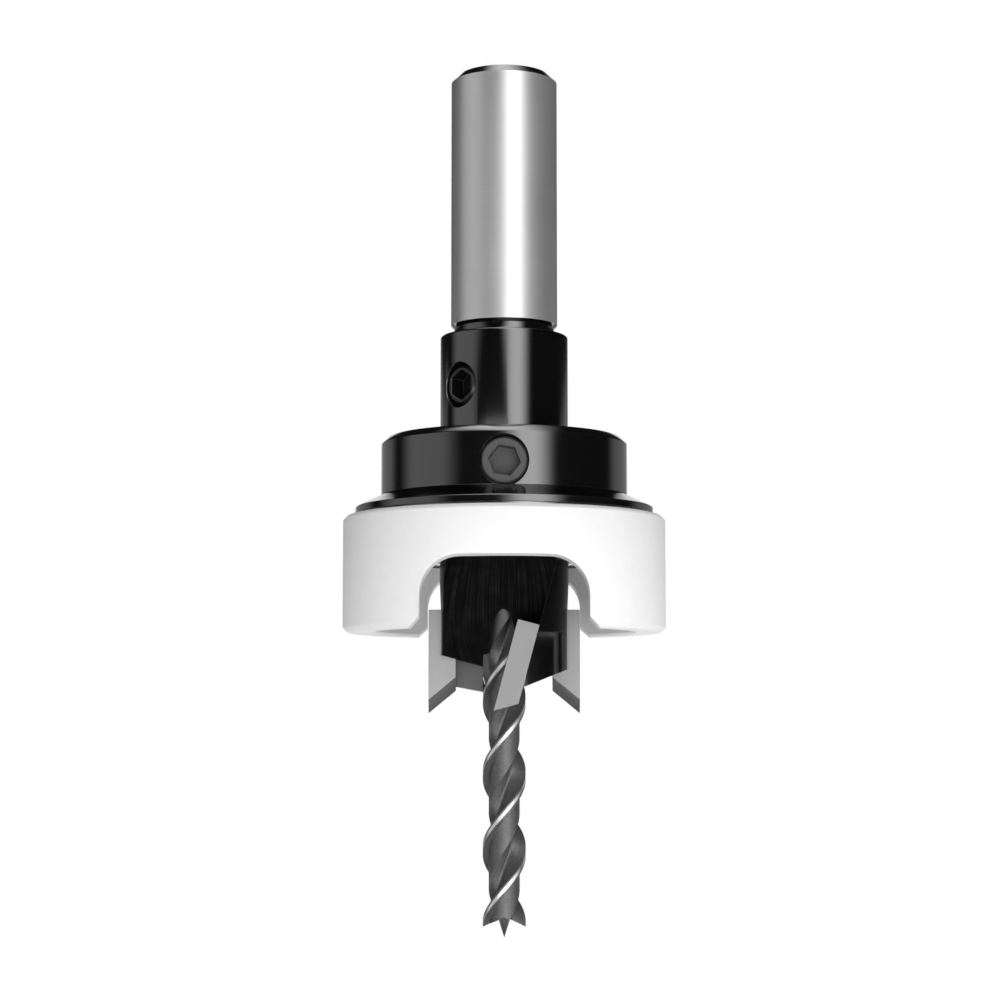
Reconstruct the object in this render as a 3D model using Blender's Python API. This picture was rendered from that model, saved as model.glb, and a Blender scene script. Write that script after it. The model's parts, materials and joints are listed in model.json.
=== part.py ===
"""Counterboring drill head with a ball-bearing depth stop.

The tool stands on the flat end of its shank: Z is zero on that face, +Z runs along
the tool axis to the drill point, and -Y is the front. All sizes are in metres.
"""

import math

import bmesh
import bpy
from mathutils import Matrix, Vector

# Fits between pieces

SEAT_GAP = 0.00004
THREAD_GAP = 0.00009
RUNNING_GAP = 0.00005
SHIELD_GAP = 0.00015

# Shank and barrel of the tool body

SHANK_RADIUS = 0.0050
SHANK_LENGTH = 0.02435
SHANK_END_CHAMFER = 0.00075
SHANK_END_CHAMFER_HEIGHT = 0.00075
SHANK_TOP_CHAMFER = 0.0003
NECK_DEPTH = 0.0003
NECK_LENGTH = 0.00075
BARREL_RADIUS = 0.0060
BARREL_LENGTH = 0.0231
BARREL_CHAMFER = 0.00025

# Cutter head of the tool body

HEAD_STEP = 0.0001
HEAD_LENGTH = 0.0104
HEAD_TAPER_LENGTH = 0.0023
GULLET_TILT = math.radians(14.9)
GULLET_FLOOR = 0.0015
GULLET_SWEEP_RADIUS = 0.030
GULLET_SEAT_OFFSET = 0.0015
GULLET_FULL_DEPTH_LENGTH = 0.0020
GULLET_RUNOUT = 0.00012
GULLET_STEPS = 8
CORE_SLOT_OUTER = 0.00196
CORE_SLOT_LENGTH = 0.00375
LOBE_RELIEF_DEPTH = 0.0005
LOBE_RELIEF_LENGTH = 0.00567
LOBE_RELIEF_START = math.radians(3.0)
LOBE_RELIEF_END = math.radians(67.0)
LOBE_RELIEF_STEPS = 8
FRONT_LOBE_SLOPE = math.radians(22.3)
BACK_LOBE_SLOPE = math.radians(10.6)
LOBE_HEIGHT_AT_AXIS = 0.0001

# Carbide pieces brazed to the head

CUTTER_OVERHANG = 0.0011
PLATE_THICKNESS = 0.0020
PLATE_LENGTH = 0.0085
PLATE_INNER_RADIUS = 0.00215
PLATE_RELIEF = math.radians(15.9)
PLATE_REACH = 0.00167
SPUR_THICKNESS = 0.0018
SPUR_WIDTH = 0.00252
SPUR_LENGTH = 0.00956
SPUR_REACH = 0.00172
SPUR_EDGE_ANGLE = math.radians(39.5)
SPUR_BEVEL_HEIGHT = 0.00125
SPUR_EDGE_FLAT = 0.00012

# Pilot drill

DRILL_RADIUS = 0.00198
DRILL_REACH = 0.0222
DRILL_END_CHAMFER = 0.0003
DRILL_PLAIN_LENGTH = 0.0212
DRILL_LEAD = 0.0138
DRILL_MARGIN_CROSSING = 0.00394
DRILL_MARGIN_HALF_ANGLE = math.radians(11)
DRILL_FLUTE_END_ANGLE = math.radians(90)
DRILL_LAND_END_ANGLE = math.radians(167)
DRILL_LAND_RADIUS = 0.00143
DRILL_WEB_RADIUS = 0.00068
DRILL_FLUTE_ROUNDNESS = 0.75
DRILL_FLUTE_POINTS = 5
DRILL_LAND_POINTS = 5
DRILL_STEPS_PER_TURN = 18
DRILL_JOIN_OVERLAP = 0.0004
DRILL_POINT_HEIGHT = 0.00101
DRILL_POINT_HALF_ANGLE = math.radians(18.4)
DRILL_END_SLOPE = math.radians(24.9)
BORE_CONE_HEIGHT = 0.0011

# Socket set screws

SOCKET_WIDTH = 0.0025
SOCKET_DEPTH = 0.0015
DRILL_SCREW_RADIUS = 0.00175
DRILL_SCREW_DISTANCE = 0.0051
DRILL_END_PAST_SCREW = 0.0021
DRILL_SCREW_AZIMUTH = math.radians(44.5)
DRILL_SCREW_RECESS = 0.0003
COLLAR_SCREW_RADIUS = 0.00212
COLLAR_SCREW_DISTANCE = 0.00325
COLLAR_SCREW_RECESS = 0.00035
COLLAR_SCREW_TWIST = math.radians(21)
SCREW_CHAMFER = 0.00015
SCREW_TIP_CHAMFER = 0.0003

# Stop collar

COLLAR_SETBACK = 0.02385
COLLAR_WALL = 0.00545
COLLAR_CHAMFER = 0.0006
COLLAR_CYLINDER_LENGTH = 0.00545
COLLAR_CONE_LENGTH = 0.0011
FLANGE_RIM = 0.00175
FLANGE_EDGE = 0.00065
HUB_WALL = 0.00141
HUB_SHOULDER_WIDTH = 0.0008
HUB_SHOULDER_HEIGHT = 0.00015
RECESS_CLEARANCE = 0.00015
RECESS_DEPTH = 0.00093

# Ball bearing of the stop ring

BEARING_SECTION = 0.0045
BEARING_WIDTH = 0.0050
BEARING_INNER_WALL = 0.00115
BEARING_OUTER_WALL = 0.00105
BEARING_CHAMFER = 0.0002
BALL_ENTRY = 0.00004
BALL_COUNT = 12
BALL_GAP = 0.00003
GROOVE_HALF_ANGLE = math.radians(45)
GROOVE_STEPS = 4
SHIELD_THICKNESS = 0.00025
SHIELD_INSET = 0.0001
SHIELD_SEAT_DEPTH = 0.00025
CAGE_WALL = 0.0011
CAGE_POCKET_GAP = 0.00006
CAGE_LIP = 0.0006
CAGE_BAND = 0.00165

# Stop ring

RING_WALL = 0.00296
RING_LENGTH = 0.01072
RING_GAP = 0.0002
RING_TOP_CHAMFER = 0.00035
RING_BOTTOM_CHAMFER = 0.00045
RING_BORE_CHAMFER = 0.0002
WINDOW_HALF_WIDTH = 0.0075
WINDOW_HEIGHT = 0.00628
WINDOW_CORNER_RADIUS = 0.0035
WINDOW_FOOT_CHAMFER = 0.0009
WINDOW_CORNER_STEPS = 6

# Facets round a full turn

FINE = 64
MEDIUM = 40
SMALL = 24
RACE_FACETS = 48
BALL_FACETS = 10
BALL_RINGS = 7
POCKET_FACETS = 12
POCKET_RINGS = 8

# How far a cutting shape reaches, as a share of the radius or length that it cuts

OVERREACH = 1.5

# Radii worked out from the sizes above

NECK_RADIUS = SHANK_RADIUS - NECK_DEPTH
HEAD_RADIUS = BARREL_RADIUS - HEAD_STEP
LOBE_RELIEF_RADIUS = HEAD_RADIUS - LOBE_RELIEF_DEPTH
CUTTER_RADIUS = HEAD_RADIUS + CUTTER_OVERHANG
SPUR_INNER_RADIUS = CUTTER_RADIUS - SPUR_WIDTH
BORE_RADIUS = DRILL_RADIUS + SEAT_GAP
COLLAR_BORE_RADIUS = BARREL_RADIUS + RUNNING_GAP
COLLAR_RADIUS = COLLAR_BORE_RADIUS + COLLAR_WALL
HUB_RADIUS = COLLAR_BORE_RADIUS + HUB_WALL
BEARING_BORE_RADIUS = HUB_RADIUS + SEAT_GAP
BEARING_OUTER_RADIUS = BEARING_BORE_RADIUS + BEARING_SECTION
RECESS_RADIUS = BEARING_OUTER_RADIUS + RECESS_CLEARANCE
FLANGE_RADIUS = RECESS_RADIUS + FLANGE_RIM
RING_BORE_RADIUS = BEARING_OUTER_RADIUS + SEAT_GAP
RING_RADIUS = RING_BORE_RADIUS + RING_WALL
INNER_RACE_RADIUS = BEARING_BORE_RADIUS + BEARING_INNER_WALL
OUTER_RACE_RADIUS = BEARING_OUTER_RADIUS - BEARING_OUTER_WALL
BALL_PITCH_RADIUS = (INNER_RACE_RADIUS + OUTER_RACE_RADIUS) / 2
BALL_RADIUS = (OUTER_RACE_RADIUS - INNER_RACE_RADIUS) / 2 + BALL_ENTRY
GROOVE_RADIUS = BALL_RADIUS + BALL_GAP

# Heights worked out from the sizes above

NECK_END = SHANK_LENGTH + NECK_LENGTH
BARREL_END = NECK_END + BARREL_LENGTH
HEAD_END = BARREL_END + HEAD_LENGTH
CUTTER_RIM = HEAD_END + SPUR_REACH
DRILL_SCREW_HEIGHT = NECK_END + DRILL_SCREW_DISTANCE
DRILL_START = DRILL_SCREW_HEIGHT - DRILL_END_PAST_SCREW
DRILL_TIP = HEAD_END + DRILL_REACH
COLLAR_TOP = HEAD_END - COLLAR_SETBACK
COLLAR_CONE_START = COLLAR_TOP + COLLAR_CYLINDER_LENGTH
FLANGE_START = COLLAR_CONE_START + COLLAR_CONE_LENGTH
FLANGE_FACE = FLANGE_START + FLANGE_EDGE
RING_START = FLANGE_FACE + RING_GAP
RING_END = RING_START + RING_LENGTH
WINDOW_START = RING_END - WINDOW_HEIGHT
RECESS_FLOOR = FLANGE_FACE - RECESS_DEPTH
BEARING_START = RECESS_FLOOR + HUB_SHOULDER_HEIGHT + SEAT_GAP
BEARING_END = BEARING_START + BEARING_WIDTH
BEARING_CENTRE = BEARING_START + BEARING_WIDTH / 2


def clear_scene():
    """Take every object out of the scene."""
    for existing in list(bpy.data.objects):
        bpy.data.objects.remove(existing, do_unlink=True)


def finish(name, colour, roughness, metallic):
    """Make a material with one colour, roughness and metallic value."""
    made = bpy.data.materials.new(name)
    made.use_nodes = True
    shader = made.node_tree.nodes["Principled BSDF"]
    shader.inputs["Base Color"].default_value = (*colour, 1.0)
    shader.inputs["Roughness"].default_value = roughness
    shader.inputs["Metallic"].default_value = metallic
    return made


def add_object(name, mesh_data, made_of=None, smooth=True):
    """Turn a bmesh into an object of the scene, shaded smooth up to 35 degrees."""
    bmesh.ops.recalc_face_normals(mesh_data, faces=mesh_data.faces)
    mesh = bpy.data.meshes.new(name)
    mesh_data.to_mesh(mesh)
    mesh_data.free()
    if smooth:
        mesh.shade_smooth()
        mesh.set_sharp_from_angle(angle=math.radians(35))
    if made_of:
        mesh.materials.append(made_of)
    made = bpy.data.objects.new(name, mesh)
    bpy.context.scene.collection.objects.link(made)
    return made


def turned_mesh(profile, facets, sweep=math.tau, closed=True):
    """Turn a profile of (radius, height) points about the Z axis."""
    data = bmesh.new()
    points = [data.verts.new((radius, 0.0, height)) for radius, height in profile]
    pairs = list(zip(points, points[1:]))
    if closed:
        pairs.append((points[-1], points[0]))
    edges = [data.edges.new(pair) for pair in pairs]
    full = math.isclose(sweep, math.tau)
    geometry = points + edges
    if not full:
        geometry.append(data.faces.new(points))
    bmesh.ops.spin(
        data,
        geom=geometry,
        cent=(0, 0, 0),
        axis=(0, 0, 1),
        angle=sweep,
        steps=facets,
        use_merge=full,
        use_duplicate=False,
    )
    bmesh.ops.remove_doubles(data, verts=data.verts, dist=1e-7)
    return data


def turned(name, profile, facets, made_of=None, closed=True):
    """Make an object by turning a profile through a full turn."""
    return add_object(name, turned_mesh(profile, facets, closed=closed), made_of)


def prism_mesh(outline, depth):
    """Extrude a flat outline of points by a vector."""
    data = bmesh.new()
    face = data.faces.new([data.verts.new(point) for point in outline])
    moved = bmesh.ops.extrude_face_region(data, geom=[face])
    corners = [item for item in moved["geom"] if isinstance(item, bmesh.types.BMVert)]
    bmesh.ops.translate(data, verts=corners, vec=depth)
    return data


def rod_mesh(radius, length, facets):
    """Make a closed rod that rises from the origin along Z."""
    data = bmesh.new()
    bmesh.ops.create_cone(
        data,
        cap_ends=True,
        segments=facets,
        radius1=radius,
        radius2=radius,
        depth=length,
        matrix=Matrix.Translation((0, 0, length / 2)),
    )
    return data


def as_cutter(made):
    """Keep a helper out of renders and show it as wire."""
    made.hide_render = True
    made.display_type = "WIRE"
    return made


def combine(target, other, operation="DIFFERENCE"):
    """Cut a helper from an object, join it on, or keep what they share."""
    as_cutter(other)
    step = target.modifiers.new(other.name, "BOOLEAN")
    step.operation = operation
    step.solver = "EXACT"
    step.object = other


def half_turn(side):
    """Give the turn about the tool axis for side 0, the front, or side 1, the back."""
    return Matrix.Rotation(math.pi * side, 4, "Z")


def radial_frame(azimuth, height, distance):
    """Give the frame at a distance from the axis whose Z points outwards.

    The azimuth is measured from the front, towards +X.
    """
    outward = Vector((math.sin(azimuth), -math.cos(azimuth), 0))
    across = Vector((0, 0, 1)).cross(outward)
    frame = Matrix((across, Vector((0, 0, 1)), outward)).transposed().to_4x4()
    frame.translation = outward * distance + Vector((0, 0, height))
    return frame


def tilted_frame():
    """Give the frame of the front gullet, with X across it and Z along its tilt."""
    frame = Matrix.Rotation(GULLET_TILT, 4, "Y")
    frame.translation = (0, 0, HEAD_END)
    return frame


def gullet_mesh():
    """Make the shape that one pass of the gullet mill takes away.

    The mill's arc runs out into the barrel, under the collar. Above the arc the cut
    goes deeper, and so opens the quadrant in front of the spur.
    """
    outside = -2 * OVERREACH * HEAD_RADIUS
    top = OVERREACH * HEAD_LENGTH
    step_height = -GULLET_FULL_DEPTH_LENGTH
    runout_rise = BARREL_RADIUS + GULLET_RUNOUT - GULLET_FLOOR
    runout_length = math.sqrt(GULLET_SWEEP_RADIUS**2 - (GULLET_SWEEP_RADIUS - runout_rise) ** 2)
    outline = []
    for step in range(GULLET_STEPS, -1, -1):
        along = runout_length * step / GULLET_STEPS
        rise = GULLET_SWEEP_RADIUS - math.sqrt(GULLET_SWEEP_RADIUS**2 - along**2)
        outline.append((0, -GULLET_FLOOR - rise, step_height - along))
    outline.append((0, SPUR_THICKNESS / 2, step_height))
    outline.append((0, SPUR_THICKNESS / 2, top))
    outline.append((0, outside, top))
    outline.append((0, outside, outline[0][2]))
    data = prism_mesh(outline, (-outside, 0, 0))
    bmesh.ops.translate(data, verts=data.verts, vec=(-GULLET_SEAT_OFFSET, 0, 0))
    return data


def lobe_end_mesh(slope):
    """Make the wedge that trims the end of a lobe to its relief slope."""
    reach = OVERREACH * HEAD_RADIUS
    near = HEAD_END + LOBE_HEIGHT_AT_AXIS
    top = HEAD_END + reach
    outline = [(0, 0, near), (-reach, 0, near - reach * math.tan(slope)), (-reach, 0, top), (0, 0, top)]
    return prism_mesh(outline, (0, -reach, 0))


def lobe_relief_mesh():
    """Make the sector that thins the lobe between its plate and its spur."""
    profile = [
        (LOBE_RELIEF_RADIUS, HEAD_END - LOBE_RELIEF_LENGTH),
        (OVERREACH * HEAD_RADIUS, HEAD_END - LOBE_RELIEF_LENGTH),
        (OVERREACH * HEAD_RADIUS, CUTTER_RIM),
        (LOBE_RELIEF_RADIUS, CUTTER_RIM),
    ]
    sweep = LOBE_RELIEF_END - LOBE_RELIEF_START
    data = turned_mesh(profile, LOBE_RELIEF_STEPS, sweep=-sweep)
    start = Matrix.Rotation(-math.pi / 2 - LOBE_RELIEF_START, 4, "Z")
    bmesh.ops.transform(data, matrix=start, verts=data.verts)
    return data


def spur_slot_mesh():
    """Make the slot that seats one spur."""
    half = SPUR_THICKNESS / 2 + SEAT_GAP
    top = CUTTER_RIM - SPUR_LENGTH - SEAT_GAP
    inner = SPUR_INNER_RADIUS - SEAT_GAP
    outer = OVERREACH * CUTTER_RADIUS
    outline = [(inner, -half, top), (inner, half, top), (outer, half, top), (outer, -half, top)]
    return prism_mesh(outline, (0, 0, OVERREACH * SPUR_LENGTH))


def core_slot_mesh():
    """Make the slot that opens the core between the drill and the inner edge of a plate."""
    inner = DRILL_RADIUS / 2
    start = HEAD_END - CORE_SLOT_LENGTH
    rise = (CORE_SLOT_OUTER - inner) * math.tan(GULLET_TILT)
    outline = [
        (-CORE_SLOT_OUTER, -PLATE_INNER_RADIUS, start),
        (-inner, -PLATE_INNER_RADIUS, start - rise),
        (-inner, -PLATE_INNER_RADIUS, CUTTER_RIM),
        (-CORE_SLOT_OUTER, -PLATE_INNER_RADIUS, CUTTER_RIM),
    ]
    return prism_mesh(outline, (0, PLATE_INNER_RADIUS + OVERREACH * GULLET_FLOOR, 0))


def tool_body(black_steel, ground_steel):
    """Model the shank, barrel and milled cutter head, which are one piece."""
    profile = [
        (0, 0),
        (SHANK_RADIUS - SHANK_END_CHAMFER, 0),
        (SHANK_RADIUS, SHANK_END_CHAMFER_HEIGHT),
        (SHANK_RADIUS, SHANK_LENGTH - SHANK_TOP_CHAMFER),
        (NECK_RADIUS, SHANK_LENGTH),
        (NECK_RADIUS, NECK_END),
        (BARREL_RADIUS - BARREL_CHAMFER, NECK_END),
        (BARREL_RADIUS, NECK_END + BARREL_CHAMFER),
        (BARREL_RADIUS, BARREL_END),
        (HEAD_RADIUS, BARREL_END + HEAD_TAPER_LENGTH),
        (HEAD_RADIUS, HEAD_END),
        (BORE_RADIUS, HEAD_END),
        (BORE_RADIUS, DRILL_START - RUNNING_GAP),
        (0, DRILL_START - BORE_CONE_HEIGHT),
    ]
    body = turned("tool_body", profile, FINE, black_steel, closed=False)
    body.data.materials.append(ground_steel)
    for face in body.data.polygons:
        ground = SHANK_END_CHAMFER_HEIGHT < face.center.z < SHANK_LENGTH - SHANK_TOP_CHAMFER
        face.material_index = int(ground)
    for side, slope in enumerate((FRONT_LOBE_SLOPE, BACK_LOBE_SLOPE)):
        turn = half_turn(side)
        gullet = add_object(f"cut_gullet_{side}", gullet_mesh())
        gullet.matrix_world = turn @ tilted_frame()
        relief = add_object(f"cut_lobe_relief_{side}", lobe_relief_mesh())
        relief.matrix_world = turn
        lobe_end = add_object(f"cut_lobe_end_{side}", lobe_end_mesh(slope))
        lobe_end.matrix_world = turn
        slot = add_object(f"cut_spur_slot_{side}", spur_slot_mesh())
        slot.matrix_world = turn
        core_slot = add_object(f"cut_core_slot_{side}", core_slot_mesh())
        core_slot.matrix_world = turn
        for cutter in (gullet, relief, lobe_end, slot, core_slot):
            combine(body, cutter)
    hole = add_object(
        "cut_drill_screw_hole",
        rod_mesh(DRILL_SCREW_RADIUS + THREAD_GAP, OVERREACH * BARREL_RADIUS, SMALL),
    )
    hole.matrix_world = radial_frame(DRILL_SCREW_AZIMUTH, DRILL_SCREW_HEIGHT, 0)
    combine(body, hole)
    return body


def cutting_plate(name, side, carbide):
    """Model a brazed plate, with its outer end ground to the relief angle."""
    rim = PLATE_REACH / math.cos(GULLET_TILT)
    drop = PLATE_THICKNESS * math.tan(GULLET_TILT + PLATE_RELIEF)
    seat = -GULLET_SEAT_OFFSET + SEAT_GAP
    lead = seat + PLATE_THICKNESS
    start = rim - PLATE_LENGTH
    outline = [
        (seat, -CUTTER_RADIUS, start),
        (lead, -CUTTER_RADIUS, start),
        (lead, -CUTTER_RADIUS, rim),
        (seat, -CUTTER_RADIUS, rim - drop),
    ]
    data = prism_mesh(outline, (0, CUTTER_RADIUS - PLATE_INNER_RADIUS, 0))
    plate = add_object(name, data, carbide, smooth=False)
    plate.matrix_world = half_turn(side) @ tilted_frame()
    return plate


def spur(name, side, carbide):
    """Model a scoring spur whose slanted edge is ground from both faces."""
    width = CUTTER_RADIUS - SPUR_INNER_RADIUS
    rise = width * math.tan(SPUR_EDGE_ANGLE)
    half = SPUR_THICKNESS / 2
    outline = [
        (SPUR_INNER_RADIUS, -half, CUTTER_RIM - SPUR_LENGTH),
        (CUTTER_RADIUS, -half, CUTTER_RIM - SPUR_LENGTH),
        (CUTTER_RADIUS, -half, CUTTER_RIM),
        (SPUR_INNER_RADIUS, -half, CUTTER_RIM - rise),
    ]
    data = prism_mesh(outline, (0, SPUR_THICKNESS, 0))
    along = Vector((width, 0, rise)).normalized()
    outward = Vector((-along.z, 0, along.x))
    bevel_run = SPUR_BEVEL_HEIGHT * math.cos(SPUR_EDGE_ANGLE)
    for face_side in (-1, 1):
        corner = Vector((CUTTER_RADIUS, face_side * half, CUTTER_RIM)) - outward * bevel_run
        edge = Vector((CUTTER_RADIUS, face_side * SPUR_EDGE_FLAT, CUTTER_RIM))
        normal = along.cross(edge - corner).normalized()
        if normal.y * face_side < 0:
            normal.negate()
        bmesh.ops.bisect_plane(
            data,
            geom=data.verts[:] + data.edges[:] + data.faces[:],
            plane_co=corner,
            plane_no=normal,
            clear_outer=True,
        )
        bmesh.ops.holes_fill(data, edges=data.edges, sides=12)
    made = add_object(name, data, carbide, smooth=False)
    made.matrix_world = half_turn(side)
    return made


def drill_section():
    """Give the section of the fluted drill as (radius, angle) points round the axis.

    Each half has a narrow margin at full size about angle zero, then a flute whose
    floor swings in to the web, then a land cleared well below the margin.
    """
    edge = DRILL_MARGIN_HALF_ANGLE
    points = []
    for half in (0, math.pi):
        for angle in (-edge, 0, edge):
            points.append((DRILL_RADIUS, half + angle))
        for step in range(1, DRILL_FLUTE_POINTS + 1):
            share = step / (DRILL_FLUTE_POINTS + 1)
            rim = DRILL_RADIUS + (DRILL_LAND_RADIUS - DRILL_RADIUS) * share
            dip = math.sin(math.pi * share) ** DRILL_FLUTE_ROUNDNESS
            angle = edge + (DRILL_FLUTE_END_ANGLE - edge) * share
            points.append((rim + (DRILL_WEB_RADIUS - rim) * dip, half + angle))
        for step in range(DRILL_LAND_POINTS):
            share = step / (DRILL_LAND_POINTS - 1)
            angle = DRILL_FLUTE_END_ANGLE + (DRILL_LAND_END_ANGLE - DRILL_FLUTE_END_ANGLE) * share
            points.append((DRILL_LAND_RADIUS, half + angle))
    return points


def margin_turn(reach):
    """Give the angle of a margin at a distance past the head.

    The margin crosses the front of the drill at a set distance past the head.
    """
    return (reach - DRILL_MARGIN_CROSSING) / DRILL_LEAD * math.tau - math.pi / 2


def drill_end():
    """Model the solid that shapes the drill's end, a V between two spurs round a centre point."""
    spur_height = DRILL_TIP - DRILL_POINT_HEIGHT
    slope = math.tan(DRILL_END_SLOPE)
    valley = spur_height - slope * DRILL_RADIUS
    reach = OVERREACH * DRILL_RADIUS
    bottom = DRILL_START - DRILL_RADIUS
    outline = [
        (-reach, -reach, bottom),
        (reach, -reach, bottom),
        (reach, -reach, valley + slope * reach),
        (0, -reach, valley),
        (-reach, -reach, valley + slope * reach),
    ]
    end = add_object("keep_drill_end", prism_mesh(outline, (0, 2 * reach, 0)))
    end.matrix_world = Matrix.Rotation(margin_turn(DRILL_REACH - DRILL_POINT_HEIGHT), 4, "Z")
    root = valley - DRILL_JOIN_OVERLAP
    root_radius = (DRILL_TIP - root) * math.tan(DRILL_POINT_HALF_ANGLE)
    cone = [(0, root), (root_radius, root), (0, DRILL_TIP)]
    point = turned("join_drill_point", cone, MEDIUM, closed=False)
    combine(end, point, "UNION")
    return end


def pilot_drill(steel):
    """Model the fluted drill, its plain shank and its three-point tip."""
    fluted_length = DRILL_TIP - DRILL_START - DRILL_PLAIN_LENGTH
    turns = fluted_length / DRILL_LEAD
    steps = round(turns * DRILL_STEPS_PER_TURN)
    tip_turn = margin_turn(DRILL_REACH)
    data = bmesh.new()
    corners = []
    for radius, angle in drill_section():
        at = angle + tip_turn
        corners.append(data.verts.new((radius * math.cos(at), radius * math.sin(at), DRILL_TIP)))
    section = data.faces.new(corners)
    bmesh.ops.spin(
        data,
        geom=[section],
        cent=(0, 0, 0),
        axis=(0, 0, 1),
        dvec=(0, 0, -fluted_length / steps),
        angle=-turns * math.tau,
        steps=steps,
        use_duplicate=False,
    )
    bmesh.ops.remove_doubles(data, verts=data.verts, dist=1e-7)
    drill = add_object("pilot_drill", data, steel)
    plain_end = DRILL_START + DRILL_PLAIN_LENGTH + DRILL_JOIN_OVERLAP
    shank_profile = [
        (0, DRILL_START),
        (DRILL_RADIUS - DRILL_END_CHAMFER, DRILL_START),
        (DRILL_RADIUS, DRILL_START + DRILL_END_CHAMFER),
        (DRILL_RADIUS, plain_end),
        (DRILL_WEB_RADIUS, plain_end + DRILL_RADIUS - DRILL_WEB_RADIUS),
        (0, plain_end + DRILL_RADIUS - DRILL_WEB_RADIUS),
    ]
    combine(drill, turned("join_drill_shank", shank_profile, MEDIUM, closed=False), "UNION")
    combine(drill, drill_end(), "INTERSECT")
    return drill


def set_screw(name, radius, length, frame, twist, steel):
    """Model a headless screw with a hexagonal socket in its outer end."""
    profile = [
        (0, -length),
        (radius - SCREW_TIP_CHAMFER, -length),
        (radius, -length + SCREW_TIP_CHAMFER),
        (radius, -SCREW_CHAMFER),
        (radius - SCREW_CHAMFER, 0),
        (0, 0),
    ]
    screw = turned(name, profile, SMALL, steel, closed=False)
    screw.matrix_world = frame
    corner = SOCKET_WIDTH / 2 / math.cos(math.pi / 6)
    socket = add_object(f"cut_socket_{name}", rod_mesh(corner, 2 * SOCKET_DEPTH, 6))
    across = Matrix.Rotation(twist, 4, "Z")
    socket.matrix_world = frame @ Matrix.Translation((0, 0, -SOCKET_DEPTH)) @ across
    combine(screw, socket)
    return screw


def stop_collar(steel):
    """Model the collar, its cone and flange, and the hub that carries the bearing."""
    profile = [
        (COLLAR_BORE_RADIUS, COLLAR_TOP),
        (COLLAR_RADIUS - COLLAR_CHAMFER, COLLAR_TOP),
        (COLLAR_RADIUS, COLLAR_TOP + COLLAR_CHAMFER),
        (COLLAR_RADIUS, COLLAR_CONE_START),
        (FLANGE_RADIUS, FLANGE_START),
        (FLANGE_RADIUS, FLANGE_FACE),
        (RECESS_RADIUS, FLANGE_FACE),
        (RECESS_RADIUS, RECESS_FLOOR),
        (BEARING_BORE_RADIUS + HUB_SHOULDER_WIDTH, RECESS_FLOOR),
        (BEARING_BORE_RADIUS + HUB_SHOULDER_WIDTH, BEARING_START - SEAT_GAP),
        (HUB_RADIUS, BEARING_START - SEAT_GAP),
        (HUB_RADIUS, BEARING_END - BEARING_CHAMFER),
        (HUB_RADIUS - BEARING_CHAMFER, BEARING_END),
        (COLLAR_BORE_RADIUS, BEARING_END),
    ]
    collar = turned("stop_collar", profile, FINE, steel)
    hole = add_object(
        "cut_collar_screw_hole",
        rod_mesh(COLLAR_SCREW_RADIUS + THREAD_GAP, OVERREACH * COLLAR_RADIUS, MEDIUM),
    )
    hole.matrix_world = radial_frame(0, COLLAR_TOP + COLLAR_SCREW_DISTANCE, 0)
    combine(collar, hole)
    return collar


def groove_profile(face_radius, outward):
    """Give the points of a ball groove cut in a cylindrical face, from -Z to +Z."""
    points = []
    for step in range(GROOVE_STEPS + 1):
        angle = GROOVE_HALF_ANGLE * (2 * step / GROOVE_STEPS - 1)
        height = GROOVE_RADIUS * math.sin(angle)
        reach = GROOVE_RADIUS * math.cos(angle)
        radius = BALL_PITCH_RADIUS + outward * reach
        if outward * (radius - face_radius) > 0:
            points.append((radius, BEARING_CENTRE + height))
    return points


def bearing_inner_race(steel):
    """Model the inner race, which is seated on the collar's hub."""
    chamfer = BEARING_CHAMFER
    profile = [
        (BEARING_BORE_RADIUS, BEARING_END - chamfer),
        (BEARING_BORE_RADIUS, BEARING_START + chamfer),
        (BEARING_BORE_RADIUS + chamfer, BEARING_START),
        (INNER_RACE_RADIUS, BEARING_START),
        *groove_profile(INNER_RACE_RADIUS, -1),
        (INNER_RACE_RADIUS, BEARING_END),
        (BEARING_BORE_RADIUS + chamfer, BEARING_END),
    ]
    return turned("bearing_inner_race", profile, RACE_FACETS, steel)


def bearing_outer_race(steel):
    """Model the outer race, with a step at each end that holds a shield."""
    chamfer = BEARING_CHAMFER
    seat = OUTER_RACE_RADIUS + SHIELD_SEAT_DEPTH
    step = SHIELD_INSET + SHIELD_THICKNESS + SEAT_GAP
    profile = [
        (BEARING_OUTER_RADIUS, BEARING_START + chamfer),
        (BEARING_OUTER_RADIUS, BEARING_END - chamfer),
        (BEARING_OUTER_RADIUS - chamfer, BEARING_END),
        (seat, BEARING_END),
        (seat, BEARING_END - step),
        (OUTER_RACE_RADIUS, BEARING_END - step),
        *reversed(groove_profile(OUTER_RACE_RADIUS, 1)),
        (OUTER_RACE_RADIUS, BEARING_START + step),
        (seat, BEARING_START + step),
        (seat, BEARING_START),
        (BEARING_OUTER_RADIUS - chamfer, BEARING_START),
    ]
    return turned("bearing_outer_race", profile, RACE_FACETS, steel)


def bearing_shield(name, start, steel):
    """Model the thin washer that closes one end of the bearing."""
    inner = INNER_RACE_RADIUS + SHIELD_GAP
    outer = OUTER_RACE_RADIUS + SHIELD_SEAT_DEPTH - SEAT_GAP
    profile = [
        (inner, start),
        (inner, start + SHIELD_THICKNESS),
        (outer, start + SHIELD_THICKNESS),
        (outer, start),
    ]
    return turned(name, profile, RACE_FACETS, steel)


def ball_mesh(radius, across, rings):
    """Make a ball about the origin."""
    data = bmesh.new()
    bmesh.ops.create_uvsphere(data, u_segments=across, v_segments=rings, radius=radius)
    return data


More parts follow.
